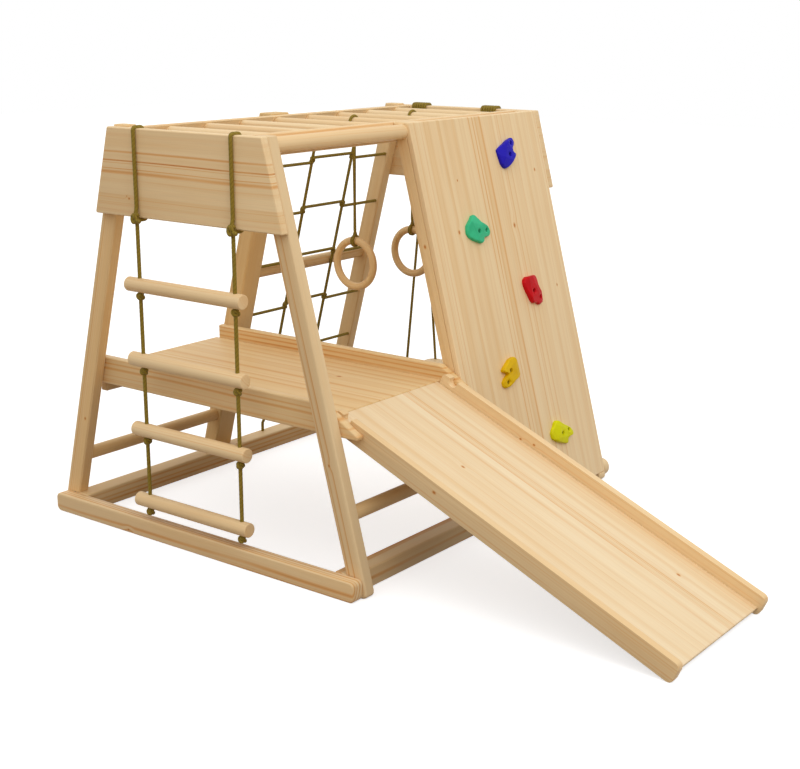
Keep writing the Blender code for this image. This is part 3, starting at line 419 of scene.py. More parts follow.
def mesh_piece(name, shells, finish):
    """One smooth mesh from shells of points.

    A shell is (rings, uv, closed): an array of rings of points, an array of UV numbers with one more ring
    and one more point to a ring, or None, and whether the last ring joins the first. Each end that stays
    open is closed by a fan to its middle point.
    """
    points, faces, uvs, base = [], [], [], 0
    for rings, uv, closed in shells:
        count, sides = rings.shape[:2]
        if uv is None:
            uv = np.stack(np.indices((count + 1, sides + 1)), -1) * 1.0
        i, j = np.meshgrid(np.arange(count if closed else count - 1), np.arange(sides), indexing="ij")
        i, j = i.ravel(), j.ravel()
        after, beside = (i + 1) % count, (j + 1) % sides
        quads = np.stack([i * sides + j, i * sides + beside, after * sides + beside, after * sides + j], -1)
        faces += (quads + base).tolist()
        corner = [uv[i, j], uv[i, j + 1], uv[i + 1, j + 1], uv[i + 1, j]]
        uvs.append(np.stack(corner, 1).reshape(-1, 2))
        points.append(rings.reshape(-1, 3))
        total = count * sides
        if not closed:
            points.append(rings[[0, -1]].mean(1))
            k = np.arange(sides)
            nearer = np.stack([np.full(sides, total), (k + 1) % sides, k], -1)
            last = (count - 1) * sides
            farther = np.stack([np.full(sides, total + 1), last + k, last + (k + 1) % sides], -1)
            faces += (np.concatenate([nearer, farther]) + base).tolist()
            uvs.append(np.repeat(uv[[0, -1], 0], sides * 3, axis=0))
            total += 2
        base += total
    mesh = bpy.data.meshes.new(name)
    mesh.from_pydata(np.concatenate(points).tolist(), [], faces)
    mesh.uv_layers.new(name="lay").data.foreach_set("uv", np.concatenate(uvs).ravel())
    mesh.shade_smooth()
    mesh.set_sharp_from_angle(angle=SHARP_EDGE)
    mesh.materials.append(finish)
    return bpy.data.objects.new(name, mesh)


def turned_rings(start, end, radius, easing):
    """Rings of a turned bar: a circle of the radius swept along the axis, with quarter-round ends."""
    start, end = np.array(start, float), np.array(end, float)
    length = np.linalg.norm(end - start)
    axis = (end - start) / length
    side = np.cross(axis, (0.3, 0.1, 1.0) if abs(axis[2]) < 0.9 else (1.0, 0.0, 0.0))
    side /= np.linalg.norm(side)
    other = np.cross(axis, side)
    quarter = np.linspace(0, np.pi / 2, END_STEPS)
    along = easing * (1 - np.cos(quarter))
    reach = radius - easing + easing * np.sin(quarter)
    along = np.concatenate([along, length - along[::-1]])
    reach = np.concatenate([reach, reach[::-1]])
    turn = np.arange(BAR_SIDES) * 2 * np.pi / BAR_SIDES
    round_ = np.cos(turn)[:, None] * side + np.sin(turn)[:, None] * other
    return start + along[:, None, None] * axis + reach[:, None, None] * round_


def turned_bar(name, seed, easing=BAR_EASE, heart=BAR_HEART, **looks):
    """Dress a CAD dowel as a smooth turned bar with the grain along it, its heart line that far away."""
    low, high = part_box(name)
    middle = (low + high) / 2
    size = high - low
    axis = int(np.argmax(size))
    radius = min(size) / 2
    start, end = middle.copy(), middle.copy()
    start[axis], end[axis] = low[axis], high[axis]
    rng = np.random.default_rng(seed)
    angle = rng.uniform(0, 2 * math.pi)
    offset = Vector((0, 0, 0))
    offset[(axis + 1) % 3] = heart * math.cos(angle)
    offset[(axis + 2) % 3] = heart * math.sin(angle)
    along = [0, 0, 0]
    along[axis] = 1
    finish = pine_finish(name, along, middle + offset, seed, **looks)
    shell = (turned_rings(start, end, radius, easing), None, False)
    dress(mesh_piece("shown_" + name, [shell], finish), name)


for word, seed in (("front", 51), ("back", 53)):
    pine_board("top_rail_" + word, ALONG_X, (0, 0.05, 0.03), seed, 1, lines=((0.055, 0.003, 0.4),))
for number in range(1, BARS + 1):
    turned_bar(f"monkey_bar_{number}", 60 + number)

# Round rails. Turned rails fill the open sides: a handrail at the top of the slide and one low rail front
# and back in the deck's bay, and one rail across the back of the other bay.
turned_bar("handrail", 71, heart=0.07)
# The low rails and the back rail stand in the frame's shade, and their lower tone and larger warm are painted
# shade.
for name, seed, tone, warm in (("low_rail_front", 73, 0.94, 0.16), ("low_rail_back", 75, 0.92, 0.2),
                               ("back_rail", 77, 0.94, 0.16)):
    turned_bar(name, seed, heart=0.05, tone=tone, warm=warm)

# Deck. A wide board of glued pine strips lies between two side boards, on a cleat at the back, and the side
# boards' noses stand out at the front, where their hidden pegs hold the slide.
WIDE_EASE = 0.0018
# The deck lies under the monkey bars, and its cleat and side boards in the frame's shade, so their lower tone
# and larger warm are painted shade.
pine_board("deck_board", ALONG_Y, (-FAR_HEART, 0, 0), 81, ease=WIDE_EASE, tone=0.92, warm=0.2, figure=0.2,
           spots=((0.4163, -0.1691, 0.4425, 0.009),),
           lines=((0.80, 0.006, 0.4), (0.86, 0.005, 0.45), (0.93, 0.010, 0.5), (0.965, 0.005, 0.55),
                  (0.985, 0.005, 0.45), (1.02, 0.012, 0.5), (1.10, 0.008, 0.4), (1.14, 0.005, 0.4),
                  (1.17, 0.010, 0.4), (1.21, 0.005, 0.4)))
pine_board("deck_cleat", ALONG_X, (0, 0, 0.06), 83, tone=0.93)
pine_board("deck_side_ladder_end", ALONG_Y, (0, 0, -FAR_HEART), 85, tone=0.93, warm=0.14, wave=0.02,
           lines=((0.972, 0.006, 0.5), (0.988, 0.004, 0.4), (1.008, 0.006, 0.6), (1.022, 0.004, 0.5),
                  (1.033, 0.003, 0.4)))
pine_board("deck_side_middle", ALONG_Y, (0, 0, -FAR_HEART), 87, tone=0.93, warm=0.24,
           lines=((0.978, 0.004, 0.6), (0.992, 0.003, 0.7), (1.008, 0.004, 0.8), (1.022, 0.004, 0.7),
                  (1.034, 0.003, 0.7)))

# Slide. A bed of glued pine strips is let in between two side rails, and the three lift off together. The
# rails are round at both ends and have an open notch near the top. The grain runs down the slope.
SLIDE_ANGLE = math.radians(23.1)
DOWN_SLIDE = (0, math.cos(SLIDE_ANGLE), math.sin(SLIDE_ANGLE))
RAIL_HEART = (0, 0.39, -0.92)
# The bed's warm below nought keeps it paler and less orange than the other boards, which is painted sheen of
# the light glancing off its top.
pine_board("slide_bed", DOWN_SLIDE, (-FAR_HEART, 0, 0), 91, ease=WIDE_EASE, wave=0.010, figure=0.22,
           tone=0.96, warm=-0.13,
           lines=((0.83, 0.002, 0.2), (0.905, 0.003, 0.3), (0.932, 0.0024, 0.28), (0.955, 0.0014, 0.24),
                  (1.018, 0.009, 0.34), (1.058, 0.003, 0.62), (1.0615, 0.0016, 0.5), (1.078, 0.0024, 0.5),
                  (1.084, 0.003, 0.62), (1.10, 0.006, 0.2), (1.135, 0.0016, 0.22), (1.186, 0.007, 0.24)),
           spots=((0.2643, -0.7102, 0.3187, 0.0062), (0.4501, -1.2365, 0.0942, 0.0062)))
pine_board("slide_rail_ladder_side", DOWN_SLIDE, RAIL_HEART, 93, tone=0.96,
           lines=((0.985, 0.004, 0.35), (1.012, 0.003, 0.4)), spots=((0.0809, -0.7529, 0.3092, 0.006),))
pine_board("slide_rail_wall_side", DOWN_SLIDE, RAIL_HEART, 95,
           lines=((0.99, 0.004, 0.15), (1.015, 0.003, 0.15)),
           spots=((0.5447, -0.7038, 0.3245, 0.004), (0.5447, -0.7472, 0.3157, 0.0045)))

# Climbing wall. One broad panel of glued pine strips is let into the front legs of the second bay, flush
# with them and with the outer edges of the frame, its grain running up the slope.
HALF_SPREAD = 0.5905

# A line is (distance across the panel from its first edge, half its width, strength), and a knot is (that
# distance, the distance up the slope, radius).
WALL_LINES = ((0.022, 0.003, 0.36), (0.036, 0.002, 0.34), (0.049, 0.004, 0.36), (0.067, 0.002, 0.26),
              (0.106, 0.0016, 0.2), (0.137, 0.006, 0.2), (0.183, 0.006, 0.2), (0.2, 0.0015, 0.16),
              (0.285, 0.004, 0.62), (0.304, 0.0045, 0.66), (0.318, 0.003, 0.4), (0.341, 0.008, 0.5),
              (0.352, 0.002, 0.2), (0.385, 0.002, 0.26), (0.401, 0.003, 0.4), (0.421, 0.003, 0.36),
              (0.433, 0.003, 0.46), (0.457, 0.006, 0.28), (0.479, 0.002, 0.3), (0.501, 0.0024, 0.34),
              (0.547, 0.002, 0.16), (0.585, 0.008, 0.2), (0.604, 0.002, 0.22), (0.622, 0.003, 0.3),
              (0.637, 0.004, 0.34))
WALL_KNOTS = ((0.131, 0.866, 0.0068), (0.415, 0.854, 0.0078), (0.172, 1.013, 0.004), (0.583, 0.646, 0.0048),
              (0.584, 1.01, 0.0056))
wall_low, wall_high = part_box("climbing_wall")
wall_half = (wall_high.x - wall_low.x) / 2
pine_board("climbing_wall", UP_FRONT, (-FAR_HEART - wall_half, 0, 0), 101, ease=FINE_EASE, wave=0.009,
           figure=0.16, warm=0.0, tone=1.02,
           lines=[(FAR_HEART + across, half, strength) for across, half, strength in WALL_LINES],
           spots=[(wall_low.x + across, -HALF_SPREAD + math.sin(LEAN) * up, math.cos(LEAN) * up, radius)
                  for across, up, radius in WALL_KNOTS])

# Climbing holds. Five holds of coloured cast resin, each bolted to the wall through two deep bolt holes. They
# have flat sloping facets, softened edges and a fine gritty face.
GRIT = 1400.0
SWIRL = 28.0
HOLD_SIDES = 200
HOLD_RINGS = 60
INMOST_SHARE = 0.01
EDGE_SLACK = 0.0001
NEARLY_LEVEL = 1e-12
HOLD_RISE = 0.016
HOLD_GAP = 0.0003
LOW_RISE = 0.35
BOLT_REACH = 0.0062
BOLT_DEEP = 0.011
PIT_START = 1.35
PIT_LIMIT = 0.8
BOLT_PIT_PAINTED_SHADE = 0.22
RIM_SHARE = (1.0, 1.0, 0.992, 0.972, 0.940, 0.905)
RIM_RISE = (0.0, 0.60, 0.80, 0.92, 0.98, 1.0)
ACROSS_WALL = np.array((1.0, 0.0, 0.0))
UP_WALL = np.array(UP_FRONT)
OUT_WALL = np.array((0.0, -math.cos(LEAN), math.sin(LEAN)))


def hold_shell(name, star, facets, holes):
    """Rings of a hold, from its outline at the wall inwards to a point in it, star, that sees all of it.

    The outline is where rays from the star meet the edges of the CAD solid. Rise = full rise - the sum over
    facets of fall x (distance past the facet's line) - a smooth round pit at each bolt. A facet is (angle of
    its fall in degrees, distance of its line from the middle, fall). Also gives the bolts' places.
    """
    origin = np.array(middle_of(name)) - OUT_WALL * (HOLD_RISE / 2 + HOLD_GAP)
    mesh = nodes[name].data
    corners = np.empty(len(mesh.vertices) * 3)
    mesh.vertices.foreach_get("co", corners)
    corners = corners.reshape(-1, 3) - origin
    edges = np.empty(len(mesh.edges) * 2, int)
    mesh.edges.foreach_get("vertices", edges)
    flat = np.stack([corners[:, 0], corners @ UP_WALL], -1) - star
    start, end = flat[edges[::2]], flat[edges[1::2]]
    along = end - start
    turn = np.arange(HOLD_SIDES) * 2 * np.pi / HOLD_SIDES
    ray = np.stack([np.cos(turn), np.sin(turn)], -1)
    across = ray[:, None, 0] * along[:, 1] - ray[:, None, 1] * along[:, 0]
    across = np.where(np.abs(across) < NEARLY_LEVEL, NEARLY_LEVEL, across)
    reach = (start[:, 0] * along[:, 1] - start[:, 1] * along[:, 0]) / across
    share = (start[:, 0] * ray[:, None, 1] - start[:, 1] * ray[:, None, 0]) / across
    met = (share > -EDGE_SLACK) & (share < 1 + EDGE_SLACK) & (reach > 0)
    reach = np.where(met, reach, 0).max(1)
    inner = np.linspace(RIM_SHARE[-1], INMOST_SHARE, HOLD_RINGS)[1:]
    shares = np.concatenate([RIM_SHARE, inner])
    rise = HOLD_RISE * np.concatenate([RIM_RISE, np.ones(len(inner))])[:, None]
    place = star + shares[:, None, None] * reach[:, None] * ray
    drop = np.zeros(place.shape[:2])
    for angle, line, fall in facets:
        past = place @ np.array((math.cos(math.radians(angle)), math.sin(math.radians(angle)))) - line
        drop += fall * np.maximum(past, 0)
    rise = np.maximum(rise - drop, np.minimum(rise, LOW_RISE * HOLD_RISE))
    for hole in holes:
        near = np.clip(PIT_START - np.linalg.norm(place - hole, axis=-1) / BOLT_REACH, 0, 1)
        rise = rise - np.minimum(BOLT_DEEP * near ** 2 * (3 - 2 * near), rise * PIT_LIMIT)
    rings = origin + OUT_WALL * HOLD_GAP + place[..., :1] * ACROSS_WALL + place[..., 1:] * UP_WALL \
        + rise[..., None] * OUT_WALL
    bolts = [origin + x * ACROSS_WALL + up * UP_WALL + HOLD_RISE * OUT_WALL for x, up in holes]
    return rings, [Vector(bolt) for bolt in bolts]


# Each hold's word, colour, darker colour for its swirls and its painted pit shade, star, facets and bolt
# holes. Places are from its middle, across and up.
HOLDS = (
    ("blue", (36, 24, 190), (22, 12, 130), (-0.004, 0.002),
     ((150, 0.012, 0.30), (250, 0.018, 0.22), (20, 0.020, 0.16)), ((0.022, 0.028), (0.005, -0.005))),
    ("green", (62, 196, 142), (24, 136, 92), (-0.006, -0.004),
     ((200, 0.020, 0.22), (75, 0.012, 0.20), (300, 0.016, 0.20)), ((-0.005, -0.007), (0.033, -0.008))),
    ("red", (206, 12, 24), (138, 4, 12), (-0.002, 0.004),
     ((20, 0.012, 0.20), (180, 0.022, 0.25), (280, 0.014, 0.22)), ((-0.007, 0.0), (0.026, -0.023))),
    ("amber", (226, 184, 8), (176, 120, 4), (0.014, 0.004),
     ((110, 0.016, 0.20), (215, 0.020, 0.20), (350, 0.024, 0.22)), ((-0.004, 0.005), (-0.023, -0.026))),
    ("lime", (222, 222, 6), (190, 160, 4), (-0.006, 0.0),
     ((160, 0.022, 0.25), (60, 0.010, 0.18), (265, 0.016, 0.24)), ((-0.005, -0.003), (0.032, 0.0))))
for word, rgb, deep, star, facets, holes in HOLDS:
    name = "hold_" + word
    rings, bolts = hold_shell(name, np.array(star), facets, np.array(holes))
    resin, tree, shader, place = finish_of("resin_" + word)
    grit = noise_of(tree, GRIT, 2.0, Vector=place)
    swirl = noise_of(tree, SWIRL, 3.0, Vector=place)
    color = mix_of(tree, step_of(tree, swirl, 0.35, 0.8, 0.0, 0.35), tint(*rgb), tint(*deep))
    # Painted shade: the walls of each bolt pit are painted near black.
    for bolt in bolts:
        away = vector_of(tree, "SUBTRACT", place, bolt)
        away = vector_of(tree, "LENGTH", vector_of(tree, "CROSS_PRODUCT", away, Vector(OUT_WALL)))
        pit = step_of(tree, away, BOLT_REACH * 0.5, BOLT_REACH * 1.05, 0.95, 0.0)
        color = mix_of(tree, pit, color, tint(*(value * BOLT_PIT_PAINTED_SHADE for value in deep)))
    bump = add_node(tree, "Bump", {"Height": grit, "Strength": 0.25, "Distance": 0.0006})
    tree.links.new(color, shader.inputs["Base Color"])
    tree.links.new(bump.outputs[0], shader.inputs["Normal"])
    tree.links.new(step_of(tree, grit, 0.2, 0.8, 0.38, 0.52), shader.inputs["Roughness"])
    shader.inputs["Specular IOR Level"].default_value = 0.14
    dress(mesh_piece("shown_" + name, [(rings, None, False)], resin), name)

# Net. Olive three-strand rope runs down the back of the second bay in two uprights, and five level rows are
# knotted to them and let into the legs. Every rope of the gym is the same lay.
STRANDS = 3
LAY = 3.4
ROPE_SIDES = 24
KNOT_SIDES = 16
KNOT_STEPS = 90
YARN = 1100.0
STAIN = 32.0
STRAND_DEPTH = 0.08
WEAVE = 0.36
ROPE_LIT = tint(152, 130, 44)
ROPE_GROOVE_SHADE = tint(112, 92, 24)


def rope_finish():
    """Twisted rope. The second UV number counts turns, so its lobes follow the strands. The grooves between
    the lobes are painted darker, as painted shade, and yarn and stain noise vary the colour.
    """
    material, tree, shader, place = finish_of("rope_fibre")
    lay = add_node(tree, "UVMap", uv_map="lay").outputs[0]
    across = add_node(tree, "SeparateXYZ", {"Vector": lay}).outputs["Y"]
    lobe = sum_of(tree, "COSINE", sum_of(tree, "MULTIPLY", across, math.pi * STRANDS))
    lobe = sum_of(tree, "ABSOLUTE", lobe)
    yarn = noise_of(tree, YARN, 2.0, Vector=place)
    stain = noise_of(tree, STAIN, 2.0, Vector=place)
    # Painted shade: the grooves between the strands are darker, and yarn and stain noise vary the colour.
    groove_shade_yarn_stain = step_of(tree, lobe, 0.0, 0.75, 0.35, 1.0)
    groove_shade_yarn_stain = sum_of(tree, "MULTIPLY", groove_shade_yarn_stain, step_of(tree, yarn, 0.2, 0.75, 0.55, 1.0))
    groove_shade_yarn_stain = sum_of(tree, "MULTIPLY", groove_shade_yarn_stain, step_of(tree, stain, 0.25, 0.75, 0.85, 1.0))
    color = mix_of(tree, groove_shade_yarn_stain, ROPE_GROOVE_SHADE, ROPE_LIT)
    bump = add_node(tree, "Bump", {"Height": yarn, "Strength": 0.35, "Distance": 0.0005})
    tree.links.new(color, shader.inputs["Base Color"])
    tree.links.new(bump.outputs[0], shader.inputs["Normal"])
    shader.inputs["Roughness"].default_value = 0.78
    shader.inputs["Specular IOR Level"].default_value = 0.25
    shader.inputs["Sheen Weight"].default_value = 0.12
    return material


ROPE = rope_finish()


def resample(route, spacing, rounds=3):
    """Points at even spacing along a route of straight runs, then averaged with their neighbours."""
    route = np.array(route, float)
    gone = np.concatenate([[0], np.cumsum(np.linalg.norm(np.diff(route, axis=0), axis=1))])
    spots = np.linspace(0, gone[-1], max(int(gone[-1] / spacing), 4) + 1)
    path = np.stack([np.interp(spots, gone, route[:, k]) for k in range(3)], -1)
    for _ in range(rounds):
        path[1:-1] = (path[:-2] + 2 * path[1:-1] + path[2:]) / 4
    return path


def rope_shell(path, diameter, beside, closed=False, sides=ROPE_SIDES):
    """Rings of a laid rope along a path that never runs along the direction beside.

    Each ring is the outline of three touching circles, turned by one whole turn for each pitch of length:
    radius = c cos a + sqrt(s^2 - c^2 sin^2 a), a from the nearest strand's middle. The grooves between the
    circles are drawn at STRAND_DEPTH of their full depth.
    """
    path = np.array(path, float)
    if closed:
        ahead = np.roll(path, -1, 0) - np.roll(path, 1, 0)
        gone = np.concatenate([[0], np.cumsum(np.linalg.norm(np.roll(path, -1, 0) - path, axis=1))])
    else:
        ahead = np.gradient(path, axis=0)
        gone = np.concatenate([[0], np.cumsum(np.linalg.norm(np.diff(path, axis=0), axis=1))])
        gone = np.append(gone, gone[-1])
    ahead /= np.linalg.norm(ahead, axis=1)[:, None]
    beside = np.broadcast_to(np.array(beside, float), path.shape)
    first = beside - (beside * ahead).sum(1)[:, None] * ahead
    first /= np.linalg.norm(first, axis=1)[:, None]
    second = np.cross(ahead, first)
    pitch = LAY * diameter
    if closed:
        pitch = gone[-1] / max(round(gone[-1] / pitch), 1)
    turns = gone / pitch
    angle = np.arange(sides + 1) / sides
    phase = (angle[None, :] - turns[:, None]) * STRANDS
    near = (phase - np.round(phase)) * 2 * np.pi / STRANDS
    strand = 1 / (1 + 1 / math.sin(math.pi / STRANDS))
    centre = 1 - strand
    outline = centre * np.cos(near) + np.sqrt(np.maximum(strand ** 2 - (centre * np.sin(near)) ** 2, 0))
    outline = 1 - STRAND_DEPTH * (1 - outline)
    round_ = np.cos(angle * 2 * np.pi)[None, :, None] * first[:, None] \
        + np.sin(angle * 2 * np.pi)[None, :, None] * second[:, None]
    rings = path[:, None] + diameter / 2 * outline[:len(path), :, None] * round_
    uv = np.stack([np.repeat(gone[:, None], sides + 1, 1), angle[None, :] - turns[:, None]], -1)
    return rings[:, :-1], uv, closed


def knot_shell(centre, axis, size, turn=0.0):
    """A knot drawn up round a rope: a rope on a torus knot that goes twice round while it weaves three times.

    Its size is (width, height, diameter of its rope). Distance out = R + a cos 3t, height = -h sin 3t and
    angle = 2t, where a is WEAVE of the reach.
    """
    across, high, rope = size
    t = np.arange(KNOT_STEPS) * 2 * np.pi / KNOT_STEPS
    axis = np.array(axis, float) / np.linalg.norm(axis)
    first = np.cross(axis, (0.0, 0.0, 1.0) if abs(axis[2]) < 0.9 else (1.0, 0.0, 0.0))
    first /= np.linalg.norm(first)
    second = np.cross(axis, first)
    swing = (across / 2 - rope / 2) * WEAVE
    out = across / 2 - rope / 2 - swing + swing * np.cos(3 * t)
    radial = np.cos(2 * t + turn)[:, None] * first + np.sin(2 * t + turn)[:, None] * second
    lift = -(high - rope) / 2 * np.sin(3 * t)
    path = np.array(centre, float) + out[:, None] * radial + lift[:, None] * axis
    return rope_shell(path, rope, radial, True, KNOT_SIDES)


ROPE_STEP = 0.0028
NET_ROPE = 0.0100
NET_ROWS = [0.9947 - 0.1611 * row for row in range(5)]
NET_STEP = 0.016
NET_UPRIGHTS = (0.829, 1.026)
NET_INSET = 0.012
NET_KNOT = (0.020, 0.024, 0.0078)
NET_RAIL_Z = 1.120
NET_FOOT_Y = 0.527
NET_FOOT_Z = 0.0545
LEG_WIDE = 0.055
net_low, net_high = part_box("rope_net")


def net_y(z):
    """Distance behind the middle plane of the net at height z, a little outside the legs' inner faces."""
    return HALF_SPREAD - math.tan(LEAN) * z - LEG_WIDE / math.cos(LEAN) + NET_INSET


shells = []
for x in NET_UPRIGHTS:
    rail_y = net_y(NET_RAIL_Z) - NET_INSET
    route = [(x, rail_y - 0.002, NET_RAIL_Z - 0.0015), (x, rail_y + 0.012, NET_RAIL_Z + 0.003),
             (x, rail_y + 0.015, NET_RAIL_Z - 0.010), (x, net_y(1.080), 1.080), (x, net_y(0.095), 0.095),
             (x, NET_FOOT_Y, 0.085), (x, NET_FOOT_Y, NET_FOOT_Z)]
    shells.append(rope_shell(resample(route, ROPE_STEP), NET_ROPE, (1, 0, 0)))
    for z in NET_ROWS:
        shells.append(knot_shell((x, net_y(z), z), UP_BACK, NET_KNOT, x * 9 + z * 7))
for z in NET_ROWS:
    spans = ((net_low.x, NET_UPRIGHTS[0], z - NET_STEP / 2), (*NET_UPRIGHTS, z + NET_STEP / 2),
             (NET_UPRIGHTS[1], net_high.x, z - NET_STEP / 2))
    for x0, x1, height in spans:
        route = [(x0, net_y(height), height), (x1, net_y(height), height)]
        shells.append(rope_shell(resample(route, ROPE_STEP), NET_ROPE, (0, 0, 1)))
dress(mesh_piece("net_ropes", shells, ROPE), "rope_net")

# Rope ladder. Two ropes are tied round the ladder's end board with a knot below its face, and hang through
# four turned rungs. A knot under each rung carries it.
LADDER_ROPE = 0.011
RUNGS = 4
RUNG_EASE = 0.003
TIE_OUT = 0.0123
TIE_KNOT = (0.026, 0.031, 0.0104)
RUNG_KNOT = (0.026, 0.021, 0.0098)
RUNG_KNOT_DROP = 0.0108
board_low, board_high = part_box("end_board_ladder")
for word in ("left", "right"):
    low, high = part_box("ladder_loop_" + word)
    y = (low.y + high.y) / 2
    reach = LADDER_ROPE / 2
    x0, x1 = board_low.x - reach, board_high.x + reach * 0.8
    z0, z1 = board_low.z - reach, board_high.z + reach * 0.5
    knot = (board_low.x - TIE_OUT, y, board_low.z)
    route = [knot, (x0, y, z0 + 0.035), (x0, y, z1 - 0.004), (x0 + 0.004, y, z1), (x1 - 0.004, y, z1),
             (x1, y, z1 - 0.004), (x1, y, z0 + 0.004), (x1 - 0.004, y, z0), (x0 + 0.006, y, z0), knot]
    tail = [knot, (knot[0] - 0.004, y - 0.010, knot[2] - 0.004),
            (knot[0] - 0.002, y - 0.021, knot[2] - 0.008)]
    shells = [rope_shell(resample(route, ROPE_STEP, 2), LADDER_ROPE, (0, 1, 0)),
              rope_shell(resample(tail, ROPE_STEP, 2), LADDER_ROPE * 0.85, (1, 0, 0)),
              knot_shell(knot, (0, 0, 1), TIE_KNOT, 0.6)]
    dress(mesh_piece("ladder_tie_" + word, shells, ROPE), "ladder_loop_" + word)

    low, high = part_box("ladder_rope_" + word)
    x = (low.x + high.x) / 2
    route = [(x, y, high.z), (x, y, low.z + 0.008)]
    shells = [rope_shell(resample(route, ROPE_STEP), LADDER_ROPE, (0, 1, 0))]
    for number in range(1, RUNGS + 1):
        rung_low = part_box(f"ladder_rung_{number}")[0]
        under = (x, y, rung_low.z - RUNG_KNOT_DROP)
        shells.append(knot_shell(under, (0, 0, 1), RUNG_KNOT, number * 1.3))
    dress(mesh_piece("ladder_hang_" + word, shells, ROPE), "ladder_rope_" + word)
for number in range(1, RUNGS + 1):
    turned_bar(f"ladder_rung_{number}", 110 + number, RUNG_EASE, tone=0.99)

# Rings. Two rings of laminated pine, smooth and round, each hang from a monkey bar by one closed loop of
# rope that passes over the bar and round the ring.
RING_TURNS, RING_SIDES = 144, 32
RING_TUBE = 0.0697
RING_ROPE = 0.0085
HANGER_BAR = 0.0161
HANGER_TOP = 0.0246
BAR_TURN = (-30, 210)
TUBE_TURN = (150, 750)
BAR_STEPS, TUBE_STEPS = 25, 61
BELOW_BAR = 0.045
ABOVE_TUBE = 0.030
for number, seed in ((1, 121), (2, 123)):
    name = f"ring_{number}"
    low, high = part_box(name)
    middle = (low + high) / 2
    tube = (high.z - low.z) * RING_TUBE
    reach = (high.z - low.z) / 2 - tube
    turn = np.arange(RING_TURNS) * 2 * np.pi / RING_TURNS
    side = np.arange(RING_SIDES) * 2 * np.pi / RING_SIDES
    out = reach + tube * np.cos(side)
    rings = np.stack([np.broadcast_to(tube * np.sin(side), (RING_TURNS, RING_SIDES)),
                      out * np.cos(turn)[:, None], out * np.sin(turn)[:, None]], -1)
    finish = pine_finish(name, ALONG_X, (0, 0, 0), seed, place="grain", tone=0.97, warm=0.2, figure=0.5)
    piece = mesh_piece("shown_" + name, [(rings + np.array(middle), None, True)], finish)
    grain = np.stack([np.broadcast_to(np.sin(turn / 2)[:, None] * 0.5, (RING_TURNS, RING_SIDES)),
                      np.broadcast_to(out, (RING_TURNS, RING_SIDES)), rings[..., 0]], -1)
    piece.data.attributes.new("grain", "FLOAT_VECTOR", "POINT").data.foreach_set("vector", grain.ravel())
    dress(piece, name)

    name = f"ring_rope_{number}"
    low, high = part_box(name)
    x, y = (low.x + high.x) / 2, (low.y + high.y) / 2
    half = RING_ROPE / 2
    bar_z, tube_z = high.z - HANGER_TOP, middle.z + reach
    bar_turn = np.radians(np.linspace(*BAR_TURN, BAR_STEPS))
    tube_turn = np.radians(np.linspace(*TUBE_TURN, TUBE_STEPS))
    bar_reach, tube_reach = HANGER_BAR + half, tube + half
    route = np.concatenate([
        np.stack([bar_reach * np.cos(bar_turn), bar_z + bar_reach * np.sin(bar_turn)], -1),
        [(-half, bar_z - BELOW_BAR), (-half, tube_z + ABOVE_TUBE)],
        np.stack([tube_reach * np.cos(tube_turn), tube_z + tube_reach * np.sin(tube_turn)], -1),
        [(half, tube_z + ABOVE_TUBE), (half, bar_z - BELOW_BAR)]])
    wrap = np.concatenate([np.zeros(BAR_STEPS), (-0.4 * half, -half), np.linspace(-half, half, TUBE_STEPS),
                           (half, 0.4 * half)])
    route = np.stack([x + route[:, 0], y + wrap, route[:, 1]], -1)
    path = resample(np.concatenate([route, route[:1]]), ROPE_STEP)[:-1]
    shells = [rope_shell(path, RING_ROPE, (0, 1, 0), True)]
    dress(mesh_piece(f"ring_hanger_{number}", shells, ROPE), name)

# Swing. A pine board seat hangs from four ropes that pass through its corners and end in knots under it. At
# the top each pair is wound six times round the end board.
SWING_ROPE = 0.009
HANGER_SPREAD = 0.129
HANGER_APART = 0.0048
SEAT_HOLE_X, SEAT_HOLE_Y = 0.084, 0.137
SEAT_KNOT = (0.018, 0.016, 0.0072)
SEAT_KNOT_DROP = 0.0083
WIND_TURNS = 6
WIND_BEND = 0.003
WIND_SWELL = 1.04
CORNER_STEPS = 7
pine_board("swing_seat", ALONG_Y, (-0.3, 0, 0), 131, 0, lines=((0.25, 0.003, 0.4), (0.33, 0.004, 0.35)))
seat_low, seat_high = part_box("swing_seat")
board_low, board_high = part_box("end_board_swing")
swing_x, swing_y = (seat_low.x + seat_high.x) / 2, (seat_low.y + seat_high.y) / 2
for along, along_word in ((-1, "inner"), (1, "outer")):
    for side, side_word in ((1, "back"), (-1, "front")):
        name = f"swing_rope_{along_word}_{side_word}"
        low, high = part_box(name)
        top = (swing_x, swing_y + side * HANGER_SPREAD - side * along * HANGER_APART,
               high.z - SWING_ROPE / 2 + 0.003)
        hole = (swing_x + along * SEAT_HOLE_X, swing_y + side * SEAT_HOLE_Y)
        route = [top, (*hole, seat_high.z + SWING_ROPE / 2), (*hole, low.z + 0.006)]
        shells = [rope_shell(resample(route, ROPE_STEP), SWING_ROPE, (0, 1, 0)),
                  knot_shell((*hole, seat_low.z - SEAT_KNOT_DROP), (0, 0, 1), SEAT_KNOT, side + along)]
        piece = mesh_piece(f"swing_hanger_{along_word}_{side_word}", shells, ROPE)
        dress(piece, name)

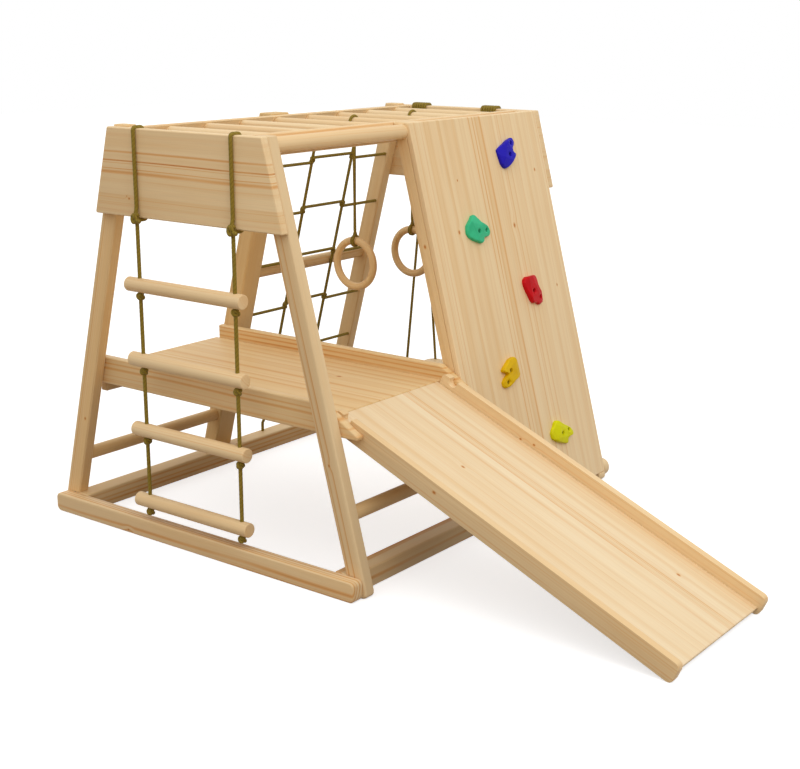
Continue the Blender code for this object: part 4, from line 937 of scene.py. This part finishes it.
for word in ("back", "front"):
    name = "swing_winding_" + word
    low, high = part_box(name)
    half = SWING_ROPE / 2
    x0, x1 = board_low.x - half, board_high.x + half
    z0, z1 = board_low.z - half, board_high.z + half
    bend = half + WIND_BEND
    arcs = []
    for x, z, start in ((x0 + bend, z0 + bend, 270), (x0 + bend, z1 - bend, 180),
                        (x1 - bend, z1 - bend, 90), (x1 - bend, z0 + bend, 0)):
        arc = np.radians(start - np.linspace(0, 90, CORNER_STEPS))
        arcs.append(np.stack([x + bend * np.cos(arc), z + bend * np.sin(arc)], -1))
    loop = np.concatenate(arcs)
    around = np.concatenate([np.tile(loop, (WIND_TURNS, 1)), loop[:1]])
    gone = np.concatenate([[0], np.cumsum(np.linalg.norm(np.diff(around, axis=0), axis=1))])
    y = low.y + half + (high.y - low.y - 2 * half) * gone / gone[-1]
    route = np.stack([around[:, 0], y, around[:, 1]], -1)
    shells = [rope_shell(resample(route, ROPE_STEP, 1), SWING_ROPE * WIND_SWELL, (0, 1, 0))]
    dress(mesh_piece("swing_wrap_" + word, shells, ROPE), name)

# Floor, light and camera. A plain pale floor under an even dome that is brighter above, one broad soft lamp
# from the front, and the camera where the photograph was taken.
FLOOR_SIZE = 30.0
FLOOR_LIT = (0.62, 0.62, 0.62, 1.0)
FLOOR_BOUNCE = (0.25, 0.185, 0.125, 1.0)
FLOOR_GLOW = 0.66
DOME_LOW, DOME_HIGH = 0.43, 1.02
DOME_SIDE = -0.16
WHITE = (1.0, 1.0, 1.0, 1.0)
LOW_LIGHT = (1.0, 0.90, 0.77, 1.0)
LAMP_SIZE = 2.6
LAMP_WATTS = 48
LAMP_PLACE = (-0.6, -3.6, 3.6)
LAMP_AIM = (0.6, 0.0, 0.5)
CAMERA_PLACE = (-2.5298, -2.6630, 1.4368)
CAMERA_TURN = (75.204, 0.0, -52.336)
CAMERA_LENS = 62.81
SENSOR_WIDTH = 36.0


def seen_of(tree):
    """1 for what the camera sees, straight or by reflection or through glass, and 0 for the light."""
    path = add_node(tree, "LightPath").outputs
    mirrored = sum_of(tree, "MAXIMUM", path["Is Glossy Ray"], path["Is Transmission Ray"])
    return sum_of(tree, "MAXIMUM", path["Is Camera Ray"], mirrored)


floor_mesh = bpy.data.meshes.new("floor")
edge = FLOOR_SIZE / 2
corners = [(-edge, -edge, 0), (edge, -edge, 0), (edge, edge, 0), (-edge, edge, 0)]
floor_mesh.from_pydata(corners, [], [(0, 1, 2, 3)])
floor = bpy.data.objects.new("floor", floor_mesh)
bpy.context.scene.collection.objects.link(floor)
pale, tree, shader, _ = finish_of("pale_floor")
seen = seen_of(tree)
tree.links.new(mix_of(tree, seen, FLOOR_BOUNCE, FLOOR_LIT), shader.inputs["Base Color"])
shader.inputs["Roughness"].default_value = 0.9
shader.inputs["Specular IOR Level"].default_value = 0.0
glow = add_node(tree, "Emission", {"Color": WHITE, "Strength": sum_of(tree, "MULTIPLY", seen, FLOOR_GLOW)})
both = add_node(tree, "AddShader", {0: shader.outputs[0], 1: glow.outputs[0]})
tree.links.new(both.outputs[0], tree.nodes["Material Output"].inputs["Surface"])
floor_mesh.materials.append(pale)

world = bpy.data.worlds.new("soft_studio")
world.use_nodes = True
bpy.context.scene.world = world
tree = world.node_tree
back = tree.nodes["Background"]
way = add_node(tree, "TexCoord").outputs["Generated"]
toward = add_node(tree, "SeparateXYZ", {"Vector": way}).outputs
seen = seen_of(tree)
dome = step_of(tree, toward["Z"], -0.1, 0.8, DOME_LOW, DOME_HIGH)
dome = sum_of(tree, "MULTIPLY", dome, sum_of(tree, "MULTIPLY_ADD", toward["X"], DOME_SIDE, 1.0))
tree.links.new(sum_of(tree, "MAXIMUM", dome, seen), back.inputs["Strength"])
low_part = step_of(tree, toward["Z"], 0.0, 0.55, 1.0, 0.0)
warmth = sum_of(tree, "MULTIPLY", low_part, sum_of(tree, "SUBTRACT", 1.0, seen))
tree.links.new(mix_of(tree, warmth, WHITE, LOW_LIGHT), back.inputs["Color"])

lamp_data = bpy.data.lights.new("front_lamp", "AREA")
lamp_data.shape = "SQUARE"
lamp_data.size = LAMP_SIZE
lamp_data.energy = LAMP_WATTS
lamp = bpy.data.objects.new("front_lamp", lamp_data)
lamp.location = LAMP_PLACE
lamp.rotation_euler = (Vector(LAMP_AIM) - Vector(LAMP_PLACE)).to_track_quat("-Z", "Y").to_euler()
bpy.context.scene.collection.objects.link(lamp)

camera_data = bpy.data.cameras.new("photo_camera")
camera_data.lens = CAMERA_LENS
camera_data.sensor_width = SENSOR_WIDTH
camera = bpy.data.objects.new("photo_camera", camera_data)
camera.location = CAMERA_PLACE
camera.rotation_euler = [math.radians(angle) for angle in CAMERA_TURN]
bpy.context.scene.collection.objects.link(camera)
bpy.context.scene.camera = camera
bpy.context.scene.view_settings.view_transform = "Standard"
